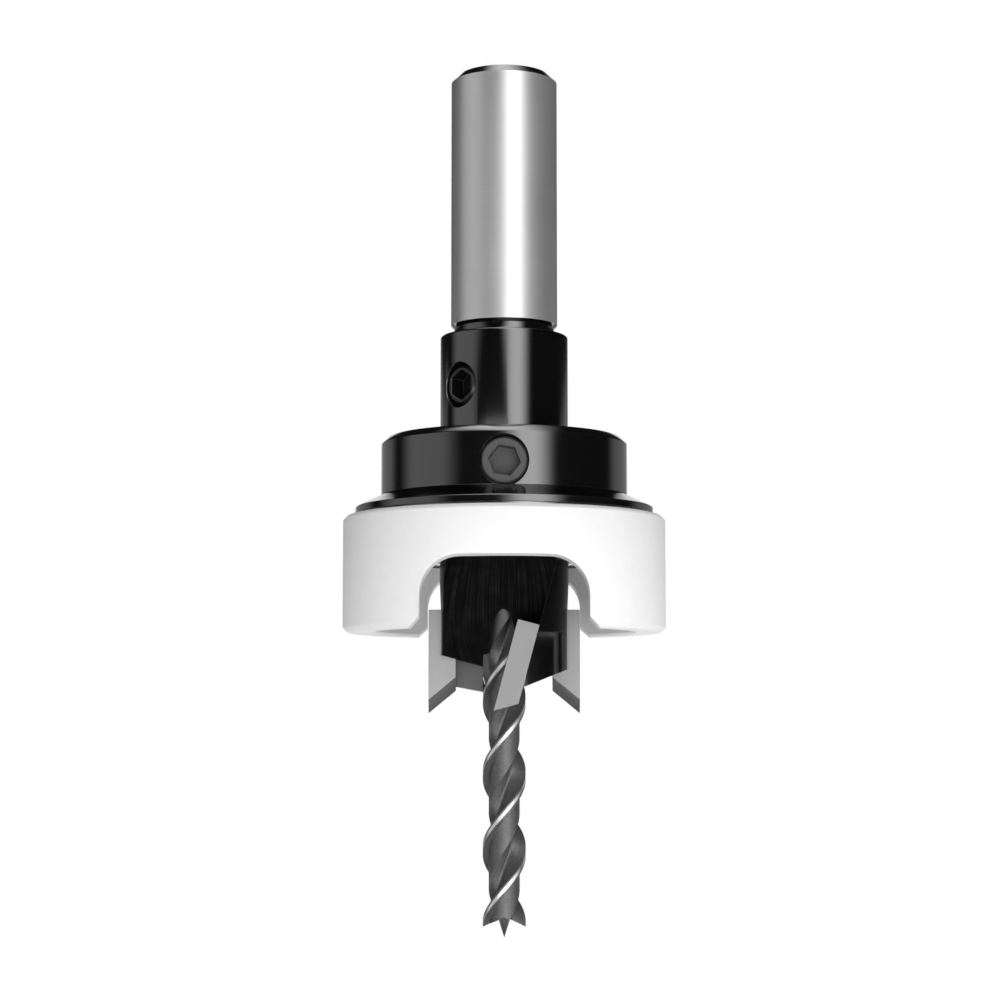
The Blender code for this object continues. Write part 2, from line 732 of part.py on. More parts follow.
def bearing_cage(plastic):
    """Model the crown cage, with one open pocket for each ball."""
    profile = [
        (BALL_PITCH_RADIUS - CAGE_WALL / 2, BEARING_CENTRE - CAGE_LIP),
        (BALL_PITCH_RADIUS + CAGE_WALL / 2, BEARING_CENTRE - CAGE_LIP),
        (BALL_PITCH_RADIUS + CAGE_WALL / 2, BEARING_CENTRE + CAGE_BAND),
        (BALL_PITCH_RADIUS - CAGE_WALL / 2, BEARING_CENTRE + CAGE_BAND),
    ]
    cage = turned("bearing_cage", profile, MEDIUM, plastic)
    for index in range(BALL_COUNT):
        pocket = add_object(
            f"cut_cage_pocket_{index + 1:02d}",
            ball_mesh(BALL_RADIUS + CAGE_POCKET_GAP, POCKET_FACETS, POCKET_RINGS),
        )
        pocket.location = ball_place(index)
        combine(cage, pocket)
    return cage


def ball_place(index):
    """Give the centre of one ball."""
    azimuth = math.tau * index / BALL_COUNT
    return (
        BALL_PITCH_RADIUS * math.cos(azimuth),
        BALL_PITCH_RADIUS * math.sin(azimuth),
        BEARING_CENTRE,
    )


def window_outline():
    """Give the outline of the chip window, in the XZ plane."""
    far = RING_END + WINDOW_FOOT_CHAMFER
    half = WINDOW_HALF_WIDTH
    radius = WINDOW_CORNER_RADIUS
    right = [(half + 2 * WINDOW_FOOT_CHAMFER, far), (half, RING_END - WINDOW_FOOT_CHAMFER)]
    for step in range(WINDOW_CORNER_STEPS + 1):
        angle = math.pi / 2 * step / WINDOW_CORNER_STEPS
        right.append(
            (
                half - radius + radius * math.cos(angle),
                WINDOW_START + radius - radius * math.sin(angle),
            )
        )
    left = [(-x, z) for x, z in reversed(right)]
    return [(x, -OVERREACH * RING_RADIUS, z) for x, z in right + left]


def stop_ring(plastic):
    """Model the plastic ring that stays still on the work, with its two chip windows.

    No chamfer takes more than a third of the wall.
    """
    bore = RING_BORE_RADIUS
    most = RING_WALL / 3
    top = min(RING_TOP_CHAMFER, most)
    bottom = min(RING_BOTTOM_CHAMFER, most)
    inner = min(RING_BORE_CHAMFER, most)
    profile = [
        (bore, RING_START + inner),
        (bore + inner, RING_START),
        (RING_RADIUS - top, RING_START),
        (RING_RADIUS, RING_START + top),
        (RING_RADIUS, RING_END - bottom),
        (RING_RADIUS - bottom, RING_END),
        (bore + inner, RING_END),
        (bore, RING_END - inner),
    ]
    ring = turned("stop_ring", profile, FINE, plastic)
    window = add_object("cut_windows", prism_mesh(window_outline(), (0, 2 * OVERREACH * RING_RADIUS, 0)))
    combine(ring, window)
    return ring


def main():
    """Build the whole tool."""
    clear_scene()
    ground_steel = finish("ground_steel", (0.60, 0.60, 0.61), 0.30, 1.0)
    black_steel = finish("black_steel", (0.012, 0.012, 0.013), 0.22, 0.6)
    screw_steel = finish("screw_steel", (0.03, 0.03, 0.032), 0.35, 0.8)
    drill_steel = finish("drill_steel", (0.16, 0.16, 0.17), 0.40, 0.9)
    carbide = finish("carbide", (0.42, 0.42, 0.42), 0.38, 0.8)
    bearing_steel = finish("bearing_steel", (0.55, 0.55, 0.56), 0.15, 1.0)
    shield_black = finish("shield_black", (0.02, 0.02, 0.02), 0.5, 0.0)
    cage_plastic = finish("cage_plastic", (0.45, 0.36, 0.22), 0.5, 0.0)
    ring_plastic = finish("ring_plastic", (0.86, 0.86, 0.86), 0.4, 0.0)

    tool_body(black_steel, ground_steel)
    pilot_drill(drill_steel)
    for side, place in enumerate(("front", "back")):
        cutting_plate(f"cutting_plate_{place}", side, carbide)
    for side, place in enumerate(("right", "left")):
        spur(f"spur_{place}", side, carbide)

    drill_seat = BARREL_RADIUS - DRILL_SCREW_RECESS
    set_screw(
        "drill_set_screw",
        DRILL_SCREW_RADIUS,
        drill_seat - DRILL_RADIUS - SEAT_GAP,
        radial_frame(DRILL_SCREW_AZIMUTH, DRILL_SCREW_HEIGHT, drill_seat),
        0,
        screw_steel,
    )
    collar_seat = COLLAR_RADIUS - COLLAR_SCREW_RECESS
    set_screw(
        "collar_set_screw",
        COLLAR_SCREW_RADIUS,
        collar_seat - BARREL_RADIUS - SEAT_GAP,
        radial_frame(0, COLLAR_TOP + COLLAR_SCREW_DISTANCE, collar_seat),
        COLLAR_SCREW_TWIST,
        screw_steel,
    )
    stop_collar(black_steel)

    bearing_inner_race(bearing_steel)
    bearing_outer_race(bearing_steel)
    bearing_shield("bearing_shield_upper", BEARING_START + SHIELD_INSET, shield_black)
    bearing_shield(
        "bearing_shield_lower", BEARING_END - SHIELD_INSET - SHIELD_THICKNESS, shield_black
    )
    bearing_cage(cage_plastic)
    for index in range(BALL_COUNT):
        shape = ball_mesh(BALL_RADIUS, BALL_FACETS, BALL_RINGS)
        ball = add_object(f"bearing_ball_{index + 1:02d}", shape, bearing_steel)
        ball.location = ball_place(index)
    stop_ring(ring_plastic)


if __name__ == "__main__":
    main()
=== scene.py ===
"""Looks of a drill and counterbore bit whose white stop ring spins on a ball bearing.

The tool stands on the flat end of its shank with +Z towards the drill point. Every
shape is worked out in millimetres and turned into metres when its object is made.
"""

from __future__ import annotations

import json
import logging
import math
from dataclasses import dataclass, replace
from enum import Enum, IntEnum
from typing import Dict, List, Optional, Sequence, Tuple, Union

import bmesh
import bpy
from bmesh.types import BMesh
from mathutils import Matrix, Vector

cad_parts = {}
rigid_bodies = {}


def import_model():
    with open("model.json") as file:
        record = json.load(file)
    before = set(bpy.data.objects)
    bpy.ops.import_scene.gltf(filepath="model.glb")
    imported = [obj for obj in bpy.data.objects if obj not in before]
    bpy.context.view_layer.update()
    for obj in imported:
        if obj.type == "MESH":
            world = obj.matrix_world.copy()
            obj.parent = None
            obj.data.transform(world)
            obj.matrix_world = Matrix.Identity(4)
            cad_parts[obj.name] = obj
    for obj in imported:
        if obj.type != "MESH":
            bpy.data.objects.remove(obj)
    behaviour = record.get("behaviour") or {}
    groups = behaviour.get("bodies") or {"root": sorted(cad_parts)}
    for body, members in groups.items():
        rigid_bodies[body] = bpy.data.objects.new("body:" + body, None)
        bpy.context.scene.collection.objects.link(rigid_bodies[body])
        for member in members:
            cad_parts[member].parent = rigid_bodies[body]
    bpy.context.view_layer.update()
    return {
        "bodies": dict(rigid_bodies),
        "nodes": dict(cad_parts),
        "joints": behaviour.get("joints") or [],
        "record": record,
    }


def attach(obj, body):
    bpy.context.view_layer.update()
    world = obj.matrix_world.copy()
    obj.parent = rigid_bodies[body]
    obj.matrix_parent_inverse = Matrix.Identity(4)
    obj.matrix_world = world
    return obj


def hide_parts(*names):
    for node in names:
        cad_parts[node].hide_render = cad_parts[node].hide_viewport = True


LOG = logging.getLogger("bit")
METRES = 0.001
WELD = 1e-5
CUT_WELD = 1e-4
FILLET_STEPS = 4
BEVEL_SEGMENTS = 2
OVERREACH = 1.5
SMUDGE_PITCH = 0.15
LEAST_ROUGHNESS = 0.02
SKIN_DEPTH = 0.0005

Pair = Tuple[float, float]
Triple = Tuple[float, float, float]
Socket = bpy.types.NodeSocket
Value = Union[Socket, float, Sequence[float]]


class Body(Enum):
    """The bodies that the new pieces ride on."""

    TOOL = "tool"
    COLLAR = "collar"
    RING = "ring"


class Slot(Enum):
    """The material slots of the record."""

    BLACK = "black_steel"
    DRILL = "drill_steel"
    CARBIDE = "carbide"
    SCREW = "screw_steel"
    RING = "ring_plastic"
    BEARING = "bearing_steel"
    CAGE = "cage_plastic"
    SHIELD = "shield_black"


class Effect(Enum):
    """The shared effects: three kinds of tool marks, smudges, and edges lightened partly by wear
    and partly as a painted highlight.
    """

    TURNED = "Turning Marks"
    MILLED = "Milled Arcs"
    GRAIN = "Fine Grain"
    SMUDGES = "Smudges"
    WEAR_AND_SHEEN = "Worn Edges"


# Shader nodes


class NodeSheet:
    """Adds nodes to one node tree and joins them."""

    def __init__(self, tree: bpy.types.NodeTree) -> None:
        """Keep the tree.

        Args:
            tree: The node tree to fill.
        """
        self.tree = tree

    def add(
        self,
        kind: str,
        settings: Optional[Dict[str, object]] = None,
        inputs: Optional[Dict[Union[str, int], Value]] = None,
    ) -> bpy.types.Node:
        """Add a node.

        Args:
            kind: The node's type name.
            settings: Properties to set on the node.
            inputs: Values or sockets for its inputs, by name or number.

        Returns:
            The new node.
        """
        node = self.tree.nodes.new(kind)
        for name, value in (settings or {}).items():
            setattr(node, name, value)
        for key, value in (inputs or {}).items():
            self.feed(node.inputs[key], value)
        return node

    def feed(self, socket: Socket, value: Value) -> None:
        """Link a socket to an input, or set the input's own value.

        Args:
            socket: The input.
            value: A socket to link, or a plain value.
        """
        if isinstance(value, bpy.types.NodeSocket):
            self.tree.links.new(value, socket)
        else:
            socket.default_value = value

    def maths(self, operation: str, first: Value, second: Value = 0.0) -> Socket:
        """Add a Math node and give its result."""
        inputs = {0: first, 1: second}
        return self.add("ShaderNodeMath", {"operation": operation}, inputs).outputs[0]

    def product(self, first: Value, second: Value) -> Socket:
        """Multiply two values."""
        return self.maths("MULTIPLY", first, second)

    def length(self, first: Value) -> Socket:
        """Give the length of a vector."""
        node = self.add("ShaderNodeVectorMath", {"operation": "LENGTH"}, {0: first})
        return node.outputs["Value"]

    def dot(self, first: Value, second: Value) -> Socket:
        """Give the dot product of two vectors.

        Args:
            first: The first vector.
            second: The second vector.

        Returns:
            The dot product.
        """
        inputs = {0: first, 1: second}
        node = self.add("ShaderNodeVectorMath", {"operation": "DOT_PRODUCT"}, inputs)
        return node.outputs["Value"]

    def between(
        self, value: Value, low: float, high: float, to_low: float = 0.0, to_high: float = 1.0
    ) -> Socket:
        """Map a range of values onto another with clamped ends.

        Args:
            value: The value to map.
            low: The start of its range.
            high: The end of its range.
            to_low: What the start becomes.
            to_high: What the end becomes.

        Returns:
            The mapped value.
        """
        inputs = {
            "Value": value,
            "From Min": low,
            "From Max": high,
            "To Min": to_low,
            "To Max": to_high,
        }
        return self.add("ShaderNodeMapRange", {"clamp": True}, inputs).outputs["Result"]

    def noise(self, place: Value, scale: Value, detail: float = 2.0) -> Socket:
        """Add a noise texture and give its value."""
        inputs = {"Vector": place, "Scale": scale, "Detail": detail}
        return self.add("ShaderNodeTexNoise", None, inputs).outputs["Fac"]

    def tint(self, share: Value, first: Value, second: Value) -> Socket:
        """Mix two colours.

        Args:
            share: The share of the second colour.
            first: The first colour.
            second: The second colour.

        Returns:
            The mixed colour.
        """
        inputs = {"Factor": share, 6: first, 7: second}
        node = self.add("ShaderNodeMix", {"data_type": "RGBA"}, inputs)
        return node.outputs[2]

    def millimetres(self) -> Socket:
        """Give the object coordinates in millimetres.

        Returns:
            The place on the piece.
        """
        inputs = {0: self.add("ShaderNodeTexCoord").outputs["Object"], "Scale": 1.0 / METRES}
        node = self.add("ShaderNodeVectorMath", {"operation": "SCALE"}, inputs)
        return node.outputs[0]


def blank_sheet(owner: Union[bpy.types.Material, bpy.types.World]) -> NodeSheet:
    """Empty the nodes of a material or world and give their sheet.

    Args:
        owner: The material or world.

    Returns:
        The sheet of its nodes.
    """
    owner.use_nodes = True
    owner.node_tree.nodes.clear()
    return NodeSheet(owner.node_tree)


class EffectShop:
    """Builds each shared shader node group once."""

    def __init__(self) -> None:
        """Start with no groups."""
        self.made: Dict[Effect, bpy.types.NodeTree] = {}

    def start(self, effect: Effect) -> Tuple[NodeSheet, Socket, Socket, Socket]:
        """Start a group that turns a place and a pitch into a mark from 0 to 1.

        Args:
            effect: The effect that the group makes.

        Returns:
            The group's sheet, the place and pitch that it takes, and the mark it gives.
        """
        tree = bpy.data.node_groups.new(effect.value, "ShaderNodeTree")
        tree.interface.new_socket("Place", in_out="INPUT", socket_type="NodeSocketVector")
        tree.interface.new_socket("Pitch", in_out="INPUT", socket_type="NodeSocketFloat")
        tree.interface.new_socket("Mark", in_out="OUTPUT", socket_type="NodeSocketFloat")
        sheet = NodeSheet(tree)
        taken = sheet.add("NodeGroupInput").outputs
        given = sheet.add("NodeGroupOutput").inputs
        return sheet, taken["Place"], taken["Pitch"], given["Mark"]

    def turning_marks(self) -> bpy.types.NodeTree:
        """Build the fine rings that a lathe or grinder leaves round the axis.

        Returns:
            The node group.
        """
        sheet, place, pitch, mark = self.start(Effect.TURNED)
        parts = sheet.add("ShaderNodeSeparateXYZ", None, {0: place}).outputs
        flat = sheet.add("ShaderNodeCombineXYZ", None, {0: parts[0], 1: parts[1]})
        along = sheet.product(parts[2], pitch)
        across = sheet.product(sheet.length(flat.outputs[0]), pitch)
        drift = sheet.noise(place, scale=0.25, detail=1.0)
        ring = sheet.add("ShaderNodeCombineXYZ", None, {0: across, 1: along, 2: drift})
        fine = sheet.noise(ring.outputs[0], scale=1.0, detail=3.0)
        sheet.feed(mark, sheet.between(fine, 0.2, 0.8))
        return sheet.tree

    def milled_arcs(self) -> bpy.types.NodeTree:
        """Build the streaks that the gullet mill leaves, fanning out from the drill.

        Returns:
            The node group.
        """
        mill_centre, bend, stretch = 61.0, 0.0005, 0.12
        sheet, place, pitch, mark = self.start(Effect.MILLED)
        parts = sheet.add("ShaderNodeSeparateXYZ", None, {0: place}).outputs
        turn = sheet.maths("SIGN", parts[1])
        aside = sheet.product(parts[0], turn)
        below = sheet.maths("SUBTRACT", mill_centre, parts[2])
        fan = sheet.maths("ARCTAN2", aside, below)
        bent = sheet.product(sheet.product(sheet.product(below, below), bend), aside)
        lines = sheet.product(sheet.maths("ADD", fan, bent), pitch)
        inputs = {0: lines, 1: sheet.product(below, stretch), 2: turn}
        streak = sheet.add("ShaderNodeCombineXYZ", None, inputs)
        fine = sheet.noise(streak.outputs[0], scale=1.0, detail=3.0)
        patchy = sheet.between(sheet.noise(place, scale=0.8, detail=3.0), 0.35, 0.7, 0.25)
        sheet.feed(mark, sheet.product(sheet.between(fine, 0.42, 0.72), patchy))
        return sheet.tree

    def fine_grain(self) -> bpy.types.NodeTree:
        """Build the salt-and-pepper speckle of a blasted or sintered surface.

        Returns:
            The node group.
        """
        sheet, place, pitch, mark = self.start(Effect.GRAIN)
        sheet.feed(mark, sheet.between(sheet.noise(place, pitch, detail=4.0), 0.3, 0.7))
        return sheet.tree

    def smudges(self) -> bpy.types.NodeTree:
        """Build the broad, faint changes that handling and oil leave.

        Returns:
            The node group.
        """
        sheet, place, pitch, mark = self.start(Effect.SMUDGES)
        sheet.feed(mark, sheet.between(sheet.noise(place, pitch, detail=3.0), 0.35, 0.65))
        return sheet.tree

    def edge_wear_and_sheen(self) -> bpy.types.NodeTree:
        """Build the mask of the edges that are lightened, partly by wear and partly as a painted
        highlight.

        Returns:
            The node group.
        """
        sheet, place, pitch, mark = self.start(Effect.WEAR_AND_SHEEN)
        # The bevel normal finds the edges that get both the wear and the painted highlight.
        soft = sheet.add("ShaderNodeBevel", {"samples": 4}, {"Radius": pitch}).outputs[0]
        true = sheet.add("ShaderNodeNewGeometry").outputs["Normal"]
        edge = sheet.between(sheet.dot(soft, true), 0.995, 0.88)
        patchy = sheet.between(sheet.noise(place, scale=1.6, detail=3.0), 0.3, 0.65, 0.35)
        sheet.feed(mark, sheet.product(edge, patchy))
        return sheet.tree

    def group(self, effect: Effect) -> bpy.types.NodeTree:
        """Give an effect's group, built on its first use.

        Args:
            effect: The effect.

        Returns:
            The node group.
        """
        makers = {
            Effect.TURNED: self.turning_marks,
            Effect.MILLED: self.milled_arcs,
            Effect.GRAIN: self.fine_grain,
            Effect.SMUDGES: self.smudges,
            Effect.WEAR_AND_SHEEN: self.edge_wear_and_sheen,
        }
        if effect not in self.made:
            self.made[effect] = makers[effect]()
        return self.made[effect]


@dataclass(frozen=True)
class Finish:
    """One surface finish.

    The tone is the plain colour, low is the colour at the bottom of the marks, and
    wear_and_sheen is the lighter colour of the edges, partly wear and partly a painted
    highlight. Pitch is in marks per millimetre, and relief and edge width are in millimetres.
    """

    name: str
    slot: Slot
    tone: Triple
    low: Triple
    wear_and_sheen: Triple
    metallic: float
    roughness: float
    spread: float
    marks: Effect
    pitch: float
    relief: float
    edge_share: float = 0.5
    edge_width: float = 0.10
    specular: float = 0.5
    ior: float = 1.5
    tint: float = 1.0
    subsurface: float = 0.0

    def build(self, shop: EffectShop) -> bpy.types.Material:
        """Build the material.

        Args:
            shop: The shop that holds the shared effects.

        Returns:
            The material.
        """
        made = bpy.data.materials.new(self.name)
        sheet = blank_sheet(made)
        place = sheet.millimetres()

        def mask(effect: Effect, pitch: float) -> Socket:
            """Place a shared effect and give its mask.

            Args:
                effect: The effect.
                pitch: Its pitch, or its width for worn edges.

            Returns:
                The mask from 0 to 1.
            """
            inputs = {"Place": place, "Pitch": pitch}
            node = sheet.add("ShaderNodeGroup", {"node_tree": shop.group(effect)}, inputs)
            return node.outputs["Mark"]

        mark = mask(self.marks, self.pitch)
        smudge = mask(Effect.SMUDGES, SMUDGE_PITCH)
        edge = mask(Effect.WEAR_AND_SHEEN, self.edge_width * METRES)
        colour = sheet.tint(mark, (*self.low, 1.0), (*self.tone, 1.0))
        # The edges lean towards a lighter colour: partly wear, partly a painted highlight on the
        # edges.
        wear_and_sheen_share = sheet.product(edge, self.edge_share)
        colour = sheet.tint(wear_and_sheen_share, colour, (*self.wear_and_sheen, 1.0))
        both = sheet.maths("ADD", sheet.product(mark, 0.5), sheet.product(smudge, 0.5))
        low = max(self.roughness - self.spread, LEAST_ROUGHNESS)
        rough = sheet.between(both, 0.0, 1.0, self.roughness + self.spread, low)
        bump = sheet.add(
            "ShaderNodeBump",
            None,
            {"Strength": 1.0, "Distance": self.relief * METRES, "Height": mark},
        )
        shader = sheet.add(
            "ShaderNodeBsdfPrincipled",
            None,
            {
                "Base Color": colour,
                "Roughness": rough,
                "Metallic": self.metallic,
                "Specular IOR Level": self.specular,
                "IOR": self.ior,
                "Specular Tint": (*grey(self.tint), 1.0),
                "Subsurface Weight": self.subsurface,
                "Subsurface Scale": SKIN_DEPTH,
                "Normal": bump.outputs[0],
            },
        )
        out = sheet.add("ShaderNodeOutputMaterial")
        sheet.feed(out.inputs["Surface"], shader.outputs[0])
        return made


def grey(level: float) -> Triple:
    """Give a grey tone."""
    return (level, level, level)


GROUND_SHANK = Finish(
    name="ground_shank",
    slot=Slot.BLACK,
    tone=grey(0.60),
    low=grey(0.57),
    wear_and_sheen=grey(0.68),
    metallic=0.78,
    roughness=0.38,
    spread=0.03,
    marks=Effect.TURNED,
    pitch=7.0,
    relief=0.0001,
    edge_share=0.2,
    tint=0.35,
)
BLACK_OXIDE = Finish(
    name="black_oxide",
    slot=Slot.BLACK,
    tone=grey(0.002),
    low=grey(0.001),
    wear_and_sheen=grey(0.08),
    metallic=0.0,
    roughness=0.14,
    spread=0.03,
    marks=Effect.TURNED,
    pitch=5.0,
    relief=0.0001,
    edge_share=0.4,
    ior=1.95,
)
HEAD_BLACK = replace(BLACK_OXIDE, name="head_black", roughness=0.22, specular=0.12, ior=1.5)
MILLED_BLACK = Finish(
    name="milled_black",
    slot=Slot.BLACK,
    tone=grey(0.017),
    low=grey(0.0008),
    wear_and_sheen=grey(0.04),
    metallic=0.0,
    roughness=0.42,
    spread=0.06,
    marks=Effect.MILLED,
    pitch=62.0,
    relief=0.0012,
    edge_share=0.3,
    specular=0.02,
)
# Painted highlight: a lighter grey copy of the milled black steel, put on the flat lobe face
# beside each spur slot for the light it catches.
LIT_LOBE_FACE = Finish(
    name="lit_lobe_face",
    slot=Slot.BLACK,
    tone=grey(0.10),
    low=grey(0.085),
    wear_and_sheen=grey(0.14),
    metallic=0.0,
    roughness=0.40,
    spread=0.05,
    marks=Effect.GRAIN,
    pitch=8.0,
    relief=0.0005,
    edge_share=0.3,
)
CARBIDE = Finish(
    name="ground_carbide",
    slot=Slot.CARBIDE,
    tone=grey(0.275),
    low=grey(0.235),
    wear_and_sheen=grey(0.60),
    metallic=0.25,
    roughness=0.42,
    spread=0.05,
    marks=Effect.GRAIN,
    pitch=14.0,
    relief=0.0006,
    edge_share=0.5,
    edge_width=0.06,
)
# Painted shade: a darker copy of the ground carbide, put on the spurs' slanted bevels for the
# darker light they catch.
SHADED_CARBIDE_BEVEL = Finish(
    name="shaded_carbide_bevel",
    slot=Slot.CARBIDE,
    tone=grey(0.15),
    low=grey(0.11),
    wear_and_sheen=grey(0.40),
    metallic=0.35,
    roughness=0.40,
    spread=0.05,
    marks=Effect.GRAIN,
    pitch=14.0,
    relief=0.0006,
    edge_share=0.4,
    edge_width=0.06,
)
DRILL_BODY = Finish(
    name="drill_flutes",
    slot=Slot.DRILL,
    tone=grey(0.145),
    low=grey(0.075),
    wear_and_sheen=grey(0.22),
    metallic=0.40,
    roughness=0.44,
    spread=0.06,
    marks=Effect.GRAIN,
    pitch=9.0,
    relief=0.003,
    edge_share=0.2,
    edge_width=0.05,
)
DRILL_MARGIN = Finish(
    name="drill_margins",
    slot=Slot.DRILL,
    tone=grey(0.80),
    low=grey(0.70),
    wear_and_sheen=grey(0.92),
    metallic=0.85,
    roughness=0.33,
    spread=0.05,
    marks=Effect.TURNED,
    pitch=12.0,
    relief=0.0004,
    edge_share=0.2,
    edge_width=0.05,
)
SCREW_BLACK = Finish(
    name="screw_black",
    slot=Slot.SCREW,
    tone=grey(0.052),
    low=grey(0.040),
    wear_and_sheen=grey(0.12),
    metallic=0.0,
    roughness=0.42,
    spread=0.06,
    marks=Effect.GRAIN,
    pitch=9.0,
    relief=0.0006,
    edge_share=0.3,
    edge_width=0.06,
)
# Near-black steel of the drill screw, also put on the walls of both hex sockets as painted shade
# in the recess.
DARK_SCREW_AND_SOCKET_SHADE = Finish(
    name="dark_screw_and_socket_shade",
    slot=Slot.SCREW,
    tone=grey(0.006),
    low=grey(0.003),
    wear_and_sheen=grey(0.14),
    metallic=0.0,
    roughness=0.30,
    spread=0.06,
    marks=Effect.GRAIN,
    pitch=9.0,
    relief=0.0006,
    edge_share=0.8,
    edge_width=0.08,
    specular=0.3,
)
RING_WHITE = Finish(
    name="ring_white",
    slot=Slot.RING,
    tone=grey(0.93),
    low=grey(0.915),
    wear_and_sheen=grey(0.94),
    metallic=0.0,
    roughness=0.55,
    spread=0.05,
    marks=Effect.GRAIN,
    pitch=1.5,
    relief=0.0008,
    edge_share=0.2,
    edge_width=0.12,
    specular=0.12,
    ior=1.45,
    subsurface=0.04,
)
RACE_STEEL = Finish(
    name="race_steel",
    slot=Slot.BEARING,
    tone=grey(0.62),
    low=grey(0.55),
    wear_and_sheen=grey(0.75),
    metallic=1.0,
    roughness=0.18,
    spread=0.05,
    marks=Effect.TURNED,
    pitch=9.0,
    relief=0.0002,
    edge_share=0.3,
)
SEAL_BLACK = Finish(
    name="seal_black",
    slot=Slot.SHIELD,
    tone=grey(0.022),
    low=grey(0.016),
    wear_and_sheen=grey(0.05),
    metallic=0.0,
    roughness=0.50,
    spread=0.06,
    marks=Effect.GRAIN,
    pitch=7.0,
    relief=0.002,
    edge_share=0.3,
)
CAGE_AMBER = Finish(
    name="cage_amber",
    slot=Slot.CAGE,
    tone=(0.46, 0.36, 0.21),
    low=(0.40, 0.31, 0.18),
    wear_and_sheen=(0.55, 0.45, 0.30),
    metallic=0.0,
    roughness=0.42,
    spread=0.05,
    marks=Effect.GRAIN,
    pitch=5.0,
    relief=0.001,
    edge_share=0.2,
)


class FinishShelf:
    """Builds each finish's material once."""

    def __init__(self) -> None:
        """Start with no materials."""
        self.effects = EffectShop()
        self.made: Dict[str, bpy.types.Material] = {}

    def get(self, finish: Finish) -> bpy.types.Material:
        """Give the material of a finish.

        Args:
            finish: The finish.

        Returns:
            Its material, built on first use.
        """
        if finish.name not in self.made:
            self.made[finish.name] = finish.build(self.effects)
        return self.made[finish.name]


# Shapes


def spun(profile: Sequence[Pair], steps: int, closed: bool = True) -> BMesh:
    """Turn a profile of (radius, height) points about the Z axis.

    Args:
        profile: The points, in millimetres.
        steps: The number of facets round the turn.
        closed: Whether the last point joins the first.

    Returns:
        The turned shape.
    """
    data = bmesh.new()
    points = [data.verts.new((radius, 0.0, height)) for radius, height in profile]
    edges = [data.edges.new(pair) for pair in zip(points, points[1:])]
    if closed:
        edges.append(data.edges.new((points[-1], points[0])))
    bmesh.ops.spin(
        data,
        geom=points + edges,
        cent=(0, 0, 0),
        axis=(0, 0, 1),
        angle=math.tau,
        steps=steps,
        use_merge=True,
        use_duplicate=False,
    )
    bmesh.ops.remove_doubles(data, verts=data.verts, dist=WELD)
    bmesh.ops.recalc_face_normals(data, faces=data.faces)
    return data


def prism(outline: Sequence[Triple], depth: Triple) -> BMesh:
    """Extrude a flat outline by a vector.

    Args:
        outline: The corners of the flat face.
        depth: The vector to extrude by.

    Returns:
        The closed prism.
    """
    data = bmesh.new()
    face = data.faces.new([data.verts.new(point) for point in outline])
    moved = bmesh.ops.extrude_face_region(data, geom=[face])
    corners = [item for item in moved["geom"] if isinstance(item, bmesh.types.BMVert)]
    bmesh.ops.translate(data, verts=corners, vec=depth)
    bmesh.ops.recalc_face_normals(data, faces=data.faces)
    return data


def rod(
    radius: float, start: float, end: float, steps: int, end_radius: Optional[float] = None
) -> BMesh:
    """Make a rod or cone along Z from one height to another.

    Args:
        radius: The radius at the start.
        start: The lower height.
        end: The upper height.
        steps: The number of facets round it.
        end_radius: The radius at the end, where it differs.

    Returns:
        The closed rod or cone.
    """
    data = bmesh.new()
    bmesh.ops.create_cone(
        data,
        cap_ends=True,
        segments=steps,
        radius1=radius,
        radius2=radius if end_radius is None else end_radius,
        depth=end - start,
        matrix=Matrix.Translation((0, 0, (start + end) / 2)),
    )
    return data


def moved(data: BMesh, matrix: Matrix) -> BMesh:
    """Move a shape by a matrix."""
    bmesh.ops.transform(data, matrix=matrix, verts=data.verts)
    return data


def painted(data: BMesh, index: int) -> BMesh:
    """Give every face of a shape one material index.

    Args:
        data: The shape.
        index: The material index.

    Returns:
        The same shape.
    """
    for face in data.faces:
        face.material_index = index
    return data


def rounded(data: BMesh, width: float, angle: float) -> BMesh:
    """Bevel the edges that are sharper than an angle in degrees.

    Args:
        data: The shape.
        width: How far the bevel reaches from an edge.
        angle: The least angle between the faces of an edge, in degrees.

    Returns:
        The same shape.
    """
    sharp = [edge for edge in data.edges if edge.calc_face_angle(0.0) > math.radians(angle)]
    bmesh.ops.bevel(
        data,
        geom=sharp,
        offset=width,
        offset_type="OFFSET",
        affect="EDGES",
        segments=BEVEL_SEGMENTS,
        profile=0.5,
        material=-1,
        clamp_overlap=True,
    )
    return data


def arc(centre: Pair, radius: float, start: float, end: float, steps: int) -> List[Pair]:
    """Give points on an arc, with its angles in degrees.

    Args:
        centre: The arc's centre.
        radius: Its radius.
        start: The angle of its first point.
        end: The angle of its last point.
        steps: The number of segments.

    Returns:
        The points, both ends among them.
    """
    points = []
    for step in range(steps + 1):
        angle = math.radians(start + (end - start) * step / steps)
        points.append((centre[0] + radius * math.cos(angle), centre[1] + radius * math.sin(angle)))
    return points


def outward_frame(azimuth: float, height: float, distance: float) -> Matrix:
    """Give a frame whose Z points out from the axis.

    Args:
        azimuth: Degrees from the front towards +X.
        height: The frame's height.
        distance: Its distance from the axis.

    Returns:
        The frame.
    """
    turn = math.radians(azimuth)
    outward = Vector((math.sin(turn), -math.cos(turn), 0))
    up = Vector((0, 0, 1))
    frame = Matrix((up.cross(outward), up, outward)).transposed().to_4x4()
    frame.translation = outward * distance + up * height
    return frame


def half_turn(side: int) -> Matrix:
    """Give no turn for side 0 and half a turn about the axis for side 1."""
    return Matrix.Rotation(math.pi * side, 4, "Z")


def linked(name: str, data: bpy.types.ID) -> bpy.types.Object:
    """Put a mesh, a light or a camera in the scene.

    Args:
        name: The object's name.
        data: Its data.

    Returns:
        The new object.
    """
    made = bpy.data.objects.new(name, data)
    bpy.context.scene.collection.objects.link(made)
    return made


def placed(name: str, data: BMesh) -> bpy.types.Object:
    """Put a shape in the scene and free its working mesh.

    Args:
        name: The object's name.
        data: The shape.

    Returns:
        The new object.
    """
    mesh = bpy.data.meshes.new(name)
    data.to_mesh(mesh)
    data.free()
    return linked(name, mesh)


